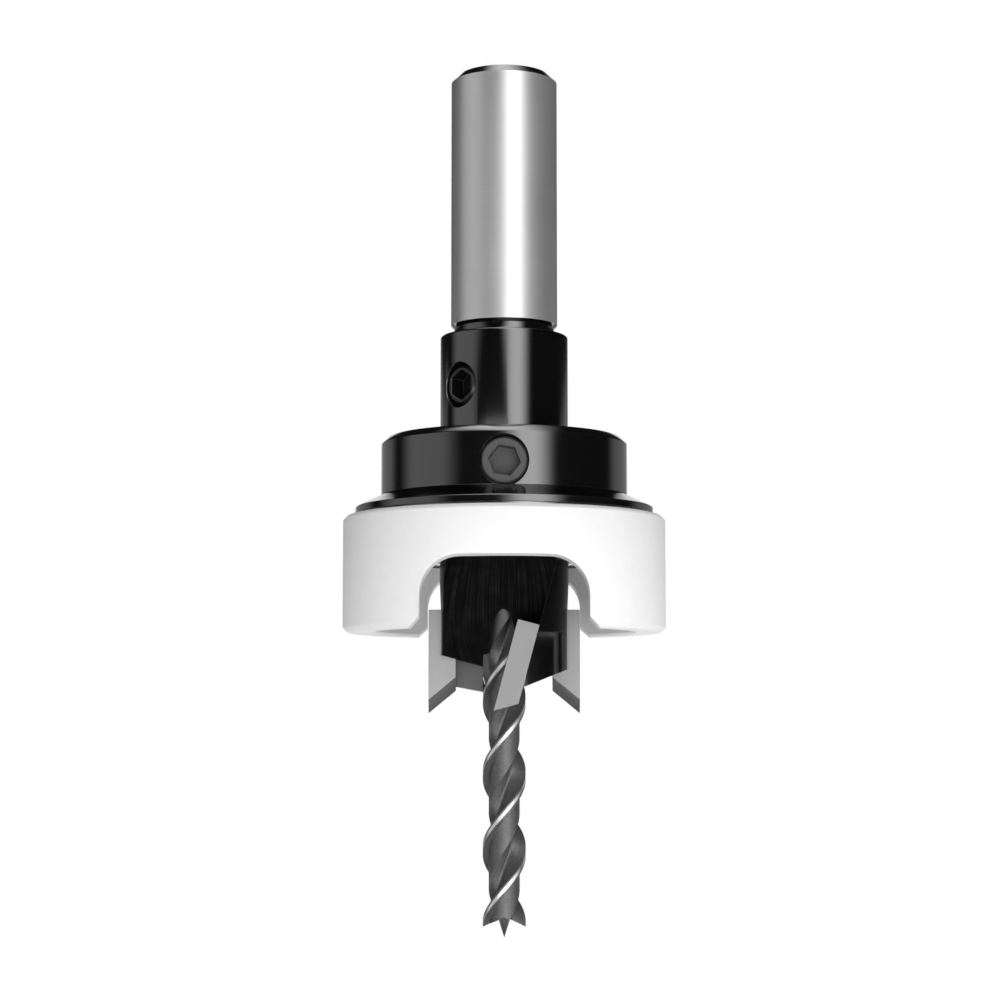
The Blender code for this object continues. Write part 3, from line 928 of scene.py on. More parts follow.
class Bench:
    """Cuts shapes with each other and turns them into pieces of the scene."""

    def __init__(self, shelf: FinishShelf) -> None:
        """Keep the shelf of finishes.

        Args:
            shelf: The finishes.
        """
        self.shelf = shelf

    def carve(self, base: BMesh, tools: Sequence[BMesh], keep: bool = False) -> BMesh:
        """Cut tools out of a shape, or keep only what it shares with them.

        Args:
            base: The shape to cut.
            tools: The shapes that cut it.
            keep: Whether the shared part stays, and not the rest.

        Returns:
            The shape that is left.
        """
        work = placed("work", base)
        helpers = [placed("cutter", tool) for tool in tools]
        for helper in helpers:
            step = work.modifiers.new("cut", "BOOLEAN")
            step.operation = "INTERSECT" if keep else "DIFFERENCE"
            step.solver = "EXACT"
            step.object = helper
        graph = bpy.context.evaluated_depsgraph_get()
        left = bmesh.new()
        left.from_mesh(work.evaluated_get(graph).to_mesh())
        for helper in [work, *helpers]:
            mesh = helper.data
            bpy.data.objects.remove(helper)
            bpy.data.meshes.remove(mesh)
        bmesh.ops.remove_doubles(left, verts=left.verts, dist=CUT_WELD)
        bmesh.ops.dissolve_degenerate(left, dist=CUT_WELD, edges=left.edges)
        return left

    def publish(
        self,
        data: BMesh,
        name: str,
        body: Body,
        finishes: Sequence[Finish],
        stands_for: Sequence[str] = (),
        angle: float = 32.0,
    ) -> bpy.types.Object:
        """Turn a shape into a finished piece in metres.

        Args:
            data: The shape, in millimetres.
            name: The piece's name.
            body: The body that it rides on.
            finishes: Its finishes, in the order of its material indices.
            stands_for: The solids that it replaces.
            angle: The angle in degrees past which an edge is sharp.

        Returns:
            The piece.
        """
        bmesh.ops.scale(data, vec=(METRES,) * 3, verts=data.verts)
        piece = placed(name, data)
        mesh = piece.data
        mesh.shade_smooth()
        mesh.set_sharp_from_angle(angle=math.radians(angle))
        for finish in finishes:
            mesh.materials.append(self.shelf.get(finish))
        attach(piece, body.value)
        if stands_for:
            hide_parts(*stands_for)
        LOG.info("%s: %d faces", name, len(mesh.polygons))
        return piece


# Sub-assemblies


@dataclass(frozen=True)
class ScrewHole:
    """A hole that runs out from the axis to a countersink, for a set screw."""

    azimuth: float
    height: float
    radius: float
    end: float
    sink_start: float
    sink_end: float
    sink_radius: float
    steps: int

    def tools(self) -> List[BMesh]:
        """Model the hole and its countersink.

        Returns:
            The two shapes to cut away.
        """
        place = outward_frame(self.azimuth, self.height, 0)
        hole = rod(self.radius, 0.0, self.end, self.steps)
        sink = rod(self.radius, self.sink_start, self.sink_end, self.steps, self.sink_radius)
        return [moved(hole, place), moved(sink, place)]


DRILL_SCREW_HOLE = ScrewHole(
    azimuth=44.5,
    height=30.2,
    radius=1.84,
    end=12.0,
    sink_start=5.45,
    sink_end=6.45,
    sink_radius=2.4,
    steps=48,
)
COLLAR_SCREW_HOLE = ScrewHole(
    azimuth=0.0,
    height=38.0,
    radius=2.21,
    end=20.0,
    sink_start=11.28,
    sink_end=11.60,
    sink_radius=2.42,
    steps=64,
)


class Skin(IntEnum):
    """The material indices of the shaft."""

    OXIDE = 0
    GROUND = 1
    MILLED = 2
    LOBE = 3
    HEAD = 4


@dataclass(frozen=True)
class Shaft:
    """The shank, the barrel and the milled head, which are one piece."""

    shank: float = 5.0
    chamfer: float = 0.75
    shank_end: float = 24.05
    neck: float = 4.7
    neck_fillet: float = 0.3
    neck_end: float = 25.1
    barrel_fillet: float = 0.25
    barrel: float = 6.0
    matt_start: float = 46.3
    barrel_end: float = 48.2
    head: float = 5.9
    taper_end: float = 50.5
    head_end: float = 58.6
    bore: float = 2.02
    bore_end: float = 28.05
    bore_cone: float = 1.1
    tilt: float = 14.9
    floor: float = 1.5
    sweep: float = 30.0
    sweep_steps: int = 28
    exit_share: float = 1.02
    mill_width: float = 18.0
    mill_length: float = 20.0
    seat: float = 1.5
    step: float = 2.0
    spur_half: float = 0.9
    spur_seat: float = 4.44
    spur_floor: float = 50.72
    spur_outside: float = 10.0
    spur_gap: float = 0.04
    relief: float = 5.4
    relief_start: float = 52.93
    relief_arc: Pair = (-93.0, -157.0)
    relief_steps: int = 24
    lobe_rise: float = 0.1
    lobe_slopes: Pair = (22.3, 10.6)
    slot_outer: float = 1.96
    slot_inner: float = 0.99
    slot_back: float = 2.15
    slot_length: float = 3.75
    slot_reach: float = 1.72
    steps: int = 160

    def profile(self) -> List[Pair]:
        """Give the turned profile, from the shank's end to the bottom of the bore.

        Returns:
            The (radius, height) points, in millimetres.
        """
        hollow, turn = self.neck_fillet, self.barrel_fillet
        points = [(0.0, 0.0), (self.shank - self.chamfer, 0.0), (self.shank, self.chamfer)]
        points += [(self.shank, self.shank_end), (self.neck, self.shank_end + hollow)]
        points += arc((self.neck + hollow, self.neck_end - hollow), hollow, 180, 90, FILLET_STEPS)
        points += arc((self.barrel - turn, self.neck_end + turn), turn, -90, 0, FILLET_STEPS)
        points += [(self.barrel, self.matt_start), (self.barrel, self.barrel_end)]
        points += [(self.head, self.taper_end), (self.head, self.head_end)]
        points += [(self.bore, self.head_end), (self.bore, self.bore_end)]
        points += [(0.0, self.bore_end - self.bore_cone)]
        return points

    def tilted(self) -> Matrix:
        """Give the frame of the front gullet.

        Returns:
            The frame, with X across the plate and Z along it.
        """
        frame = Matrix.Rotation(math.radians(self.tilt), 4, "Y")
        frame.translation = (0, 0, self.head_end)
        return frame

    def gullet(self) -> BMesh:
        """Model what one pass of the gullet mill takes away.

        Returns:
            The shape to cut away, in millimetres.
        """
        outside = -self.mill_width
        rise = self.exit_share * self.barrel - self.floor
        runout = math.sqrt(self.sweep**2 - (self.sweep - rise) ** 2)
        outline = []
        for index in range(self.sweep_steps, -1, -1):
            along = runout * index / self.sweep_steps
            depth = self.sweep - math.sqrt(self.sweep**2 - along**2)
            outline.append((-self.seat, -self.floor - depth, -self.step - along))
        outline.append((-self.seat, self.spur_half, -self.step))
        outline.append((-self.seat, self.spur_half, self.mill_length))
        outline.append((-self.seat, outside, self.mill_length))
        outline.append((-self.seat, outside, outline[0][2]))
        data = painted(prism(outline, (self.mill_width, 0, 0)), Skin.MILLED)
        # The lobe face beside the spur slot takes the lighter lobe finish, a painted highlight.
        for face in data.faces:
            if math.isclose(face.calc_center_median().y, self.spur_half, abs_tol=1e-3):
                face.material_index = Skin.LOBE
        return moved(data, self.tilted())

    def core_slot(self) -> BMesh:
        """Model the slot beside the drill, at the inner edge of a plate.

        Returns:
            The shape to cut away, in millimetres.
        """
        top = self.head_end + self.slot_reach
        start = self.head_end - self.slot_length
        rise = (self.slot_outer - self.slot_inner) * math.tan(math.radians(self.tilt))
        outline = [
            (-self.slot_outer, -self.slot_back, start),
            (-self.slot_inner, -self.slot_back, start - rise),
            (-self.slot_inner, -self.slot_back, top),
            (-self.slot_outer, -self.slot_back, top),
        ]
        depth = self.slot_back + OVERREACH * self.floor
        return painted(prism(outline, (0, depth, 0)), Skin.MILLED)

    def lobe_end(self, slope: float) -> BMesh:
        """Model the wedge that trims the end of a lobe.

        Args:
            slope: How far the lobe's end leans, in degrees.

        Returns:
            The shape to cut away, in millimetres.
        """
        reach = 2 * self.head
        near = self.head_end + self.lobe_rise
        drop = reach * math.tan(math.radians(slope))
        top = near + reach
        outline = [(0, 0, near), (-reach, 0, near - drop), (-reach, 0, top), (0, 0, top)]
        return prism(outline, (0, -reach, 0))

    def lobe_relief(self) -> BMesh:
        """Model the sector that thins a lobe between its plate and its spur.

        Returns:
            The shape to cut away, in millimetres.
        """
        first, last = self.relief_arc
        inner = arc((0, 0), self.relief, first, last, self.relief_steps)
        outer = arc((0, 0), OVERREACH * self.head, last, first, self.relief_steps)
        outline = [(x, y, self.relief_start) for x, y in inner + outer]
        return prism(outline, (0, 0, self.mill_length))

    def spur_slot(self) -> BMesh:
        """Model the slot that seats a spur.

        Returns:
            The shape to cut away, in millimetres.
        """
        half = self.spur_half + self.spur_gap
        corners = [(self.spur_seat, -half), (self.spur_seat, half)]
        corners += [(self.spur_outside, half), (self.spur_outside, -half)]
        outline = [(x, y, self.spur_floor) for x, y in corners]
        return prism(outline, (0, 0, self.mill_length))

    def skin_at(self, middle: Vector) -> Skin:
        """Give the finish of the turned blank at a face's middle.

        Args:
            middle: The middle of the face.

        Returns:
            The material index.
        """
        if middle.z >= self.matt_start:
            return Skin.HEAD
        outside = math.hypot(middle.x, middle.y) > self.bore
        return Skin.GROUND if outside and self.chamfer < middle.z < self.shank_end else Skin.OXIDE

    def build(self, bench: Bench) -> bpy.types.Object:
        """Build the piece.

        Args:
            bench: The bench to work on.

        Returns:
            The finished piece.
        """
        base = spun(self.profile(), self.steps, closed=False)
        for face in base.faces:
            face.material_index = self.skin_at(face.calc_center_median())
        tools = []
        for side, slope in enumerate(self.lobe_slopes):
            cuts = [self.gullet(), self.core_slot(), self.lobe_relief()]
            cuts += [self.lobe_end(slope), self.spur_slot()]
            tools += [moved(cut, half_turn(side)) for cut in cuts]
        left = bench.carve(base, tools + DRILL_SCREW_HOLE.tools())
        finishes = (BLACK_OXIDE, GROUND_SHANK, MILLED_BLACK, LIT_LOBE_FACE, HEAD_BLACK)
        return bench.publish(left, "shaft", Body.TOOL, finishes, ("tool_body",))


@dataclass(frozen=True)
class CarbideSet:
    """The two brazed cutting plates and the two scoring spurs."""

    rim: float = 7.0
    thickness: float = 2.0
    length: float = 8.5
    inner: float = 2.15
    relief: float = 15.9
    reach: float = 1.67
    spur_inner: float = 4.48
    spur_thickness: float = 1.8
    spur_start: float = 50.76
    spur_tip: float = 60.32
    spur_angle: float = 39.5
    band: float = 1.25
    flat: float = 0.12
    seat_gap: float = 0.04
    plate_bevel: float = 0.035
    spur_bevel: float = 0.03
    bevel_angle: float = 20.0
    slant: Pair = (0.2, 0.97)
    sharp: float = 15.0

    def plate(self, shaft: Shaft) -> BMesh:
        """Model a cutting plate in its tilted seat.

        Args:
            shaft: The shaft that seats it.

        Returns:
            The shape, in millimetres.
        """
        top = self.reach / math.cos(math.radians(shaft.tilt))
        drop = self.thickness * math.tan(math.radians(shaft.tilt + self.relief))
        back = -shaft.seat + self.seat_gap
        lead = back + self.thickness
        low = top - self.length
        corners = [(back, low), (lead, low), (lead, top), (back, top - drop)]
        data = prism([(x, -self.rim, z) for x, z in corners], (0, self.rim - self.inner, 0))
        return moved(rounded(data, self.plate_bevel, self.bevel_angle), shaft.tilted())

    def spur(self) -> BMesh:
        """Model a spur whose slanted edge is ground from both faces.

        Returns:
            The shape, in millimetres.
        """
        width = self.rim - self.spur_inner
        rise = width * math.tan(math.radians(self.spur_angle))
        half = self.spur_thickness / 2
        corners = [(self.spur_inner, self.spur_start), (self.rim, self.spur_start)]
        corners += [(self.rim, self.spur_tip), (self.spur_inner, self.spur_tip - rise)]
        data = prism([(x, -half, z) for x, z in corners], (0, self.spur_thickness, 0))
        along = Vector((width, 0, rise)).normalized()
        out = Vector((-along.z, 0, along.x))
        run = self.band * math.cos(math.radians(self.spur_angle))
        for face in (-1, 1):
            corner = Vector((self.rim, face * half, self.spur_tip)) - out * run
            edge = Vector((self.rim, face * self.flat, self.spur_tip))
            normal = along.cross(edge - corner).normalized()
            if normal.y * face < 0:
                normal.negate()
            bmesh.ops.bisect_plane(
                data,
                geom=data.verts[:] + data.edges[:] + data.faces[:],
                plane_co=corner,
                plane_no=normal,
                clear_outer=True,
            )
            bmesh.ops.holes_fill(data, edges=data.edges, sides=12)
        bmesh.ops.recalc_face_normals(data, faces=data.faces)
        # The slanted bevel faces take the darker carbide, a painted shade.
        for face in data.faces:
            face.material_index = int(self.slant[0] < abs(face.normal.y) < self.slant[1])
        return rounded(data, self.spur_bevel, self.bevel_angle)

    def build(self, bench: Bench, shaft: Shaft) -> None:
        """Build the four carbide pieces.

        Args:
            bench: The bench to work on.
            shaft: The shaft that seats them.
        """
        both = (CARBIDE, SHADED_CARBIDE_BEVEL)
        for side, (face, hand) in enumerate((("front", "right"), ("back", "left"))):
            turn = half_turn(side)
            plate = moved(self.plate(shaft), turn)
            node = f"cutting_plate_{face}"
            bench.publish(plate, f"plate_{face}", Body.TOOL, (CARBIDE,), (node,), self.sharp)
            spur = moved(self.spur(), turn)
            node = f"spur_{hand}"
            bench.publish(spur, f"scorer_{hand}", Body.TOOL, both, (node,), self.sharp)


@dataclass(frozen=True)
class PilotDrill:
    """The fluted drill with its bright margins and three-point tip."""

    radius: float = 1.98
    land: float = 1.43
    web: float = 0.68
    start: float = 28.1
    flute_start: float = 49.3
    tip: float = 80.80
    lead: float = 13.8
    crossing: float = 62.54
    margin: float = 11.0
    bright: float = 5.4
    flute_end: float = 90.0
    land_end: float = 168.0
    point_height: float = 1.01
    point_angle: float = 18.4
    end_slope: float = 24.9
    overlap: float = 0.4
    end_chamfer: float = 0.3
    roundness: float = 0.75
    flute_steps: int = 15
    land_steps: int = 11
    rim_share: float = 0.97
    steps_per_turn: int = 64
    point_steps: int = 48
    trim_below: float = 1.0
    sharp: float = 38.0

    def turn_at(self, height: float) -> float:
        """Give the angle in radians of the first margin's middle at a height."""
        return (height - self.crossing) / self.lead * math.tau - math.pi / 2

    def section(self) -> List[Pair]:
        """Give the section as (radius, angle in degrees) points.

        Returns:
            The points, once round the section.
        """
        points = []
        for half in (0.0, 180.0):
            for angle in (-self.margin, -self.bright, 0.0, self.bright, self.margin):
                points.append((self.radius, half + angle))
            for step in range(1, self.flute_steps):
                share = step / self.flute_steps
                rim = self.radius + (self.land - self.radius) * share
                dip = math.sin(math.pi * share) ** self.roundness
                angle = self.margin + (self.flute_end - self.margin) * share
                points.append((rim + (self.web - rim) * dip, half + angle))
            for step in range(self.land_steps + 1):
                across = (self.land_end - self.flute_end) * step / self.land_steps
                points.append((self.land, half + (self.flute_end + across)))
        return points

    def fluted(self) -> BMesh:
        """Model the twisted length.

        Returns:
            The shape, in millimetres.
        """
        length = self.tip - self.flute_start
        turns = length / self.lead
        steps = round(turns * self.steps_per_turn)
        data = bmesh.new()
        corners = []
        for radius, angle in self.section():
            at = math.radians(angle) + self.turn_at(self.tip)
            place = (radius * math.cos(at), radius * math.sin(at), self.tip)
            corners.append(data.verts.new(place))
        face = data.faces.new(corners)
        bmesh.ops.spin(
            data,
            geom=[face],
            cent=(0, 0, 0),
            axis=(0, 0, 1),
            dvec=(0, 0, -length / steps),
            angle=-turns * math.tau,
            steps=steps,
            use_merge=False,
            use_duplicate=False,
        )
        bmesh.ops.remove_doubles(data, verts=data.verts, dist=WELD)
        bmesh.ops.recalc_face_normals(data, faces=data.faces)
        for face in data.faces:
            middle = face.calc_center_median()
            turn = self.turn_at(middle.z)
            off = math.remainder(math.atan2(middle.y, middle.x) - turn, math.pi)
            rim = math.hypot(middle.x, middle.y) > self.rim_share * self.radius
            face.material_index = int(rim and abs(off) < math.radians(self.bright))
        return data

    def end_trim(self) -> BMesh:
        """Model the solid that leaves a V between the two corner points at the end.

        Returns:
            The shape whose inside is kept.
        """
        corner = self.tip - self.point_height
        slope = math.tan(math.radians(self.end_slope))
        valley = corner - slope * self.radius
        reach = OVERREACH * self.radius
        top, bottom = valley + slope * reach, self.flute_start - self.trim_below
        corners = [(-reach, bottom), (reach, bottom), (reach, top), (0, valley), (-reach, top)]
        trim = prism([(x, -reach, z) for x, z in corners], (0, 2 * reach, 0))
        return moved(trim, Matrix.Rotation(self.turn_at(corner), 4, "Z"))

    def centre_point(self) -> BMesh:
        """Model the sharp cone in the middle of the end.

        Returns:
            The shape, in millimetres.
        """
        slope = math.tan(math.radians(self.end_slope))
        root = self.tip - self.point_height - slope * self.radius - self.overlap
        wide = (self.tip - root) * math.tan(math.radians(self.point_angle))
        profile = [(0.0, root), (wide, root), (0.0, self.tip)]
        return spun(profile, self.point_steps, closed=False)

    def shank(self) -> BMesh:
        """Model the plain end that the body holds.

        Returns:
            The shape, in millimetres.
        """
        top = self.flute_start + self.overlap
        end = top + self.radius - self.web
        profile = [(0.0, self.start), (self.radius - self.end_chamfer, self.start)]
        profile += [(self.radius, self.start + self.end_chamfer), (self.radius, top)]
        profile += [(self.web, end), (0.0, end)]
        return spun(profile, self.steps_per_turn, closed=False)

    def build(self, bench: Bench) -> None:
        """Build the fluted length and the plain end.

        Args:
            bench: The bench to work on.
        """
        drill = bench.carve(self.fluted(), [self.end_trim()], keep=True)
        finishes = (DRILL_BODY, DRILL_MARGIN)
        nodes = ("pilot_drill",)
        bench.publish(drill, "drill_flutes", Body.TOOL, finishes, nodes, self.sharp)
        bench.publish(self.centre_point(), "drill_point", Body.TOOL, (DRILL_BODY,))
        bench.publish(self.shank(), "drill_shank", Body.TOOL, (DRILL_BODY,))


@dataclass(frozen=True)
class SetScrew:
    """A headless screw with a hexagonal socket in its outer end."""

    name: str
    body: Body
    hole: ScrewHole
    radius: float
    length: float
    distance: float
    twist: float
    finish: Finish
    flat: float = 2.5
    depth: float = 1.5
    chamfer: float = 0.18
    tip_chamfer: float = 0.3
    lip: float = 0.07
    steps: int = 60
    sharp: float = 25.0

    def build(self, bench: Bench, node: str) -> bpy.types.Object:
        """Build the screw.

        Args:
            bench: The bench to work on.
            node: The solid that it replaces.

        Returns:
            The finished screw.
        """
        rim = self.radius - self.chamfer
        profile = [
            (0.0, -self.length),
            (self.radius - self.tip_chamfer, -self.length),
            (self.radius, self.tip_chamfer - self.length),
            (self.radius, -self.chamfer),
            (rim, 0.0),
        ]
        data = spun(profile, self.steps, closed=False)
        outer = [edge for edge in data.edges if edge.is_boundary]
        corner = self.flat / 2 / math.cos(math.pi / 6)
        turn = Matrix.Rotation(math.radians(self.twist), 4, "Z")
        wide = corner + self.lip
        mouth = bmesh.ops.create_circle(data, segments=6, radius=wide, matrix=turn)["verts"]
        loop = list({edge for vert in mouth for edge in vert.link_edges})
        bmesh.ops.bridge_loops(data, edges=outer + loop)
        # The socket walls take the darker finish, painted shade in the recess.
        for scale, drop in ((corner / wide, self.lip), (1.0, self.depth)):
            grown = bmesh.ops.extrude_edge_only(data, edges=loop)["geom"]
            for item in grown:
                if isinstance(item, bmesh.types.BMFace):
                    item.material_index = int(drop == self.depth)
            verts = [item for item in grown if isinstance(item, bmesh.types.BMVert)]
            loop = [item for item in grown if isinstance(item, bmesh.types.BMEdge)]
            bmesh.ops.scale(data, vec=(scale, scale, 1), verts=verts)
            bmesh.ops.translate(data, vec=(0, 0, -drop), verts=verts)
        bmesh.ops.edgeloop_fill(data, edges=loop)
        bmesh.ops.recalc_face_normals(data, faces=data.faces)
        moved(data, outward_frame(self.hole.azimuth, self.hole.height, self.distance))
        finishes = (self.finish, DARK_SCREW_AND_SOCKET_SHADE)
        return bench.publish(data, self.name, self.body, finishes, (node,), self.sharp)


@dataclass(frozen=True)
class StopCollar:
    """The black collar with its flange and the hub of the bearing."""

    bore: float = 6.05
    start: float = 34.75
    radius: float = 11.5
    chamfer: float = 0.6
    cone_start: float = 40.2
    flange: float = 13.9
    flange_start: float = 41.3
    flange_face: float = 41.95
    recess: float = 12.15
    recess_floor: float = 41.02
    shoulder: float = 8.3
    hub: float = 7.46
    hub_start: float = 41.17
    hub_end: float = 46.21
    bore_start_chamfer: float = 0.2
    bore_end_chamfer: float = 0.15
    hub_chamfer: float = 0.2
    fillet: Pair = (0.04, 0.02)
    edge: float = 0.05
    steps: int = 192
    sharp: float = 20.0

    def profile(self) -> List[Pair]:
        """Give the turned profile, all the way round it.

        Returns:
            The (radius, height) points, in millimetres.
        """
        run, drop = self.fillet
        top = self.start + self.chamfer
        shoulder = self.radius - self.chamfer
        points = [(self.bore + self.bore_start_chamfer, self.start)]
        points += [(shoulder - run, self.start), (shoulder, self.start + drop)]
        points += [(self.radius - drop, top), (self.radius, top + run)]
        points += [(self.radius, self.cone_start - self.edge)]
        points += [(self.radius + self.edge, self.cone_start)]
        points += [(self.flange - run, self.flange_start)]
        points += [(self.flange, self.flange_start + self.edge)]
        points += [(self.flange, self.flange_face - self.edge)]
        points += [(self.flange - self.edge, self.flange_face), (self.recess, self.flange_face)]
        points += [(self.recess, self.recess_floor), (self.shoulder, self.recess_floor)]
        points += [(self.shoulder, self.hub_start), (self.hub, self.hub_start)]
        points += [(self.hub, self.hub_end - self.hub_chamfer)]
        points += [(self.hub - self.hub_chamfer, self.hub_end)]
        points += [(self.bore + self.bore_end_chamfer, self.hub_end)]
        points += [(self.bore, self.hub_end - self.bore_end_chamfer)]
        points += [(self.bore, self.start + self.bore_start_chamfer)]
        return points

    def build(self, bench: Bench) -> bpy.types.Object:
        """Build the collar.

        Args:
            bench: The bench to work on.

        Returns:
            The finished collar.
        """
        left = bench.carve(spun(self.profile(), self.steps), COLLAR_SCREW_HOLE.tools())
        finishes = (BLACK_OXIDE,)
        return bench.publish(left, "collar", Body.COLLAR, finishes, ("stop_collar",), self.sharp)


@dataclass(frozen=True)
class StopRing:
    """The white plastic ring with its two chip windows."""

    radius: float = 15.0
    bore: float = 12.04
    start: float = 42.15
    end: float = 52.87
    window_half: float = 7.5
    window_start: float = 46.59
    window_corner: float = 3.5
    foot: float = 0.9
    bore_chamfer: float = 0.2
    start_fillet: Pair = (0.38, 0.34)
    end_fillet: Pair = (0.48, 0.43)
    fillet_drop: float = 0.02
    cut_reach: float = 24.0
    corner_steps: int = 14
    steps: int = 240
    sharp: float = 28.0

    def window(self) -> BMesh:
        """Model the cut that goes through both walls.

        Returns:
            The shape to cut away, in millimetres.
        """
        far = self.end + self.foot
        corner = (self.window_half - self.window_corner, self.window_start + self.window_corner)
        right = [(self.window_half + 2 * self.foot, far), (self.window_half, self.end - self.foot)]
        right += arc(corner, self.window_corner, 0, -90, self.corner_steps)
        left = [(-x, z) for x, z in reversed(right)]
        outline = [(x, -self.cut_reach, z) for x, z in right + left]
        return prism(outline, (0, 2 * self.cut_reach, 0))

    def build(self, bench: Bench) -> bpy.types.Object:
        """Build the ring.

        Args:
            bench: The bench to work on.

        Returns:
            The finished ring.
        """
        radius, start, end = self.radius, self.start, self.end
        inside, drop = self.bore_chamfer, self.fillet_drop
        long, short = self.start_fillet
        profile = [(self.bore, start + inside), (self.bore + inside, start)]
        profile += [(radius - long, start), (radius - short, start + drop)]
        profile += [(radius - drop, start + short), (radius, start + long)]
        long, short = self.end_fillet
        profile += [(radius, end - long), (radius - drop, end - short)]
        profile += [(radius - short, end - drop), (radius - long, end)]
        profile += [(self.bore + inside, end), (self.bore, end - inside)]
        left = bench.carve(spun(profile, self.steps), [self.window()])
        finishes = (RING_WHITE,)
        return bench.publish(left, "white_ring", Body.RING, finishes, ("stop_ring",), self.sharp)


@dataclass(frozen=True)
class BallBearing:
    """The races and seals of the bearing, with its balls and cage inside."""

    bore: float = 7.5
    outer: float = 12.0
    start: float = 41.21
    width: float = 5.0
    inner_land: float = 8.65
    outer_land: float = 10.95
    seat: float = 0.25
    seat_depth: float = 0.39
    groove: float = 1.22
    groove_half: float = 45.0
    groove_steps: int = 4
    fillet: float = 0.25
    edge: float = 0.05
    seal_inset: float = 0.1
    seal_gap: float = 0.15
    seal_press: float = 0.04
    seal_thickness: float = 0.25
    seal_dip: float = 0.09
    seal_groove: Tuple[float, ...] = (-0.62, -0.50, 0.42, 0.54)
    balls: int = 12
    steps: int = 144

    def race_groove(self, land: float, outward: int) -> List[Pair]:
        """Give the ball groove's points, from low to high.

        Args:
            land: The radius of the race beside the groove.
            outward: 1 for the outer race and -1 for the inner one.

        Returns:
            The (radius, height) points, in millimetres.
        """
        pitch = (self.inner_land + self.outer_land) / 2
        middle = self.start + self.width / 2
        points = []
        for step in range(2 * self.groove_steps + 1):
            angle = math.radians(self.groove_half * (step / self.groove_steps - 1))
            radius = pitch + outward * self.groove * math.cos(angle)
            if outward * (radius - land) > 0:
                points.append((radius, middle + self.groove * math.sin(angle)))
        return points

    def inner_race(self) -> BMesh:
        """Model the inner race.

        Returns:
            The shape, in millimetres.
        """
        start, end = self.start, self.start + self.width
        curve, edge, land = self.fillet, self.edge, self.inner_land
        profile = arc((self.bore + curve, end - curve), curve, 90, 180, FILLET_STEPS)
        profile += arc((self.bore + curve, start + curve), curve, 180, 270, FILLET_STEPS)
        profile += [(land - edge, start), (land, start + edge)]
        profile += self.race_groove(land, -1)
        profile += [(land, end - edge), (land - edge, end)]
        return spun(profile, self.steps)

    def outer_race(self) -> BMesh:
        """Model the outer race, with the steps that hold the seals.

        Returns:
            The shape, in millimetres.
        """
        start, end = self.start, self.start + self.width
        curve, edge, land = self.fillet, self.edge, self.outer_land
        seat, step = land + self.seat, self.seat_depth
        profile = arc((self.outer - curve, start + curve), curve, -90, 0, FILLET_STEPS)
        profile += arc((self.outer - curve, end - curve), curve, 0, 90, FILLET_STEPS)
        profile += [(seat + edge, end), (seat, end - edge), (seat, end - step), (land, end - step)]
        profile += list(reversed(self.race_groove(land, 1)))
        profile += [(land, start + step), (seat, start + step), (seat, start)]
        return spun(profile, self.steps)

    def seal(self, face: float, outward: int) -> BMesh:
        """Model a seal with a pressed groove, its outer face at a height.

        Args:
            face: The height of the outer face.
            outward: 1 where the face looks up and -1 where it looks down.

        Returns:
            The shape, in millimetres.
        """
        inner = self.inner_land + self.seal_gap
        outer = self.outer_land + self.seat - self.seal_press
        middle = (inner + outer) / 2
        back = face - outward * self.seal_thickness
        edge = face - outward * self.edge
        dip = face - outward * self.seal_dip
        heights = (face, dip, dip, face)
        profile = [(inner, back), (inner, edge), (inner + self.edge, face)]
        profile += [(middle + off, height) for off, height in zip(self.seal_groove, heights)]
        profile += [(outer - self.edge, face), (outer, edge), (outer, back)]
        return spun(profile, self.steps)

    def build(self, bench: Bench, nodes: Dict[str, bpy.types.Object]) -> None:
        """Build the bearing.

        Args:
            bench: The bench to work on.
            nodes: The solids of the part, by name.
        """
        steel, black = (RACE_STEEL,), (SEAL_BLACK,)
        inner, outer = self.inner_race(), self.outer_race()
        bench.publish(inner, "race_inner", Body.COLLAR, steel, ("bearing_inner_race",))
        bench.publish(outer, "race_outer", Body.RING, steel, ("bearing_outer_race",))
        low = self.seal(self.start + self.seal_inset, -1)
        bench.publish(low, "seal_upper", Body.RING, black, ("bearing_shield_upper",))
        high = self.seal(self.start + self.width - self.seal_inset, 1)
        bench.publish(high, "seal_lower", Body.RING, black, ("bearing_shield_lower",))
        finishes = {"bearing_cage": CAGE_AMBER}
        for index in range(self.balls):
            finishes[f"bearing_ball_{index + 1:02d}"] = RACE_STEEL
        for name, finish in finishes.items():
            nodes[name].data.materials.clear()
            nodes[name].data.materials.append(bench.shelf.get(finish))


# Studio


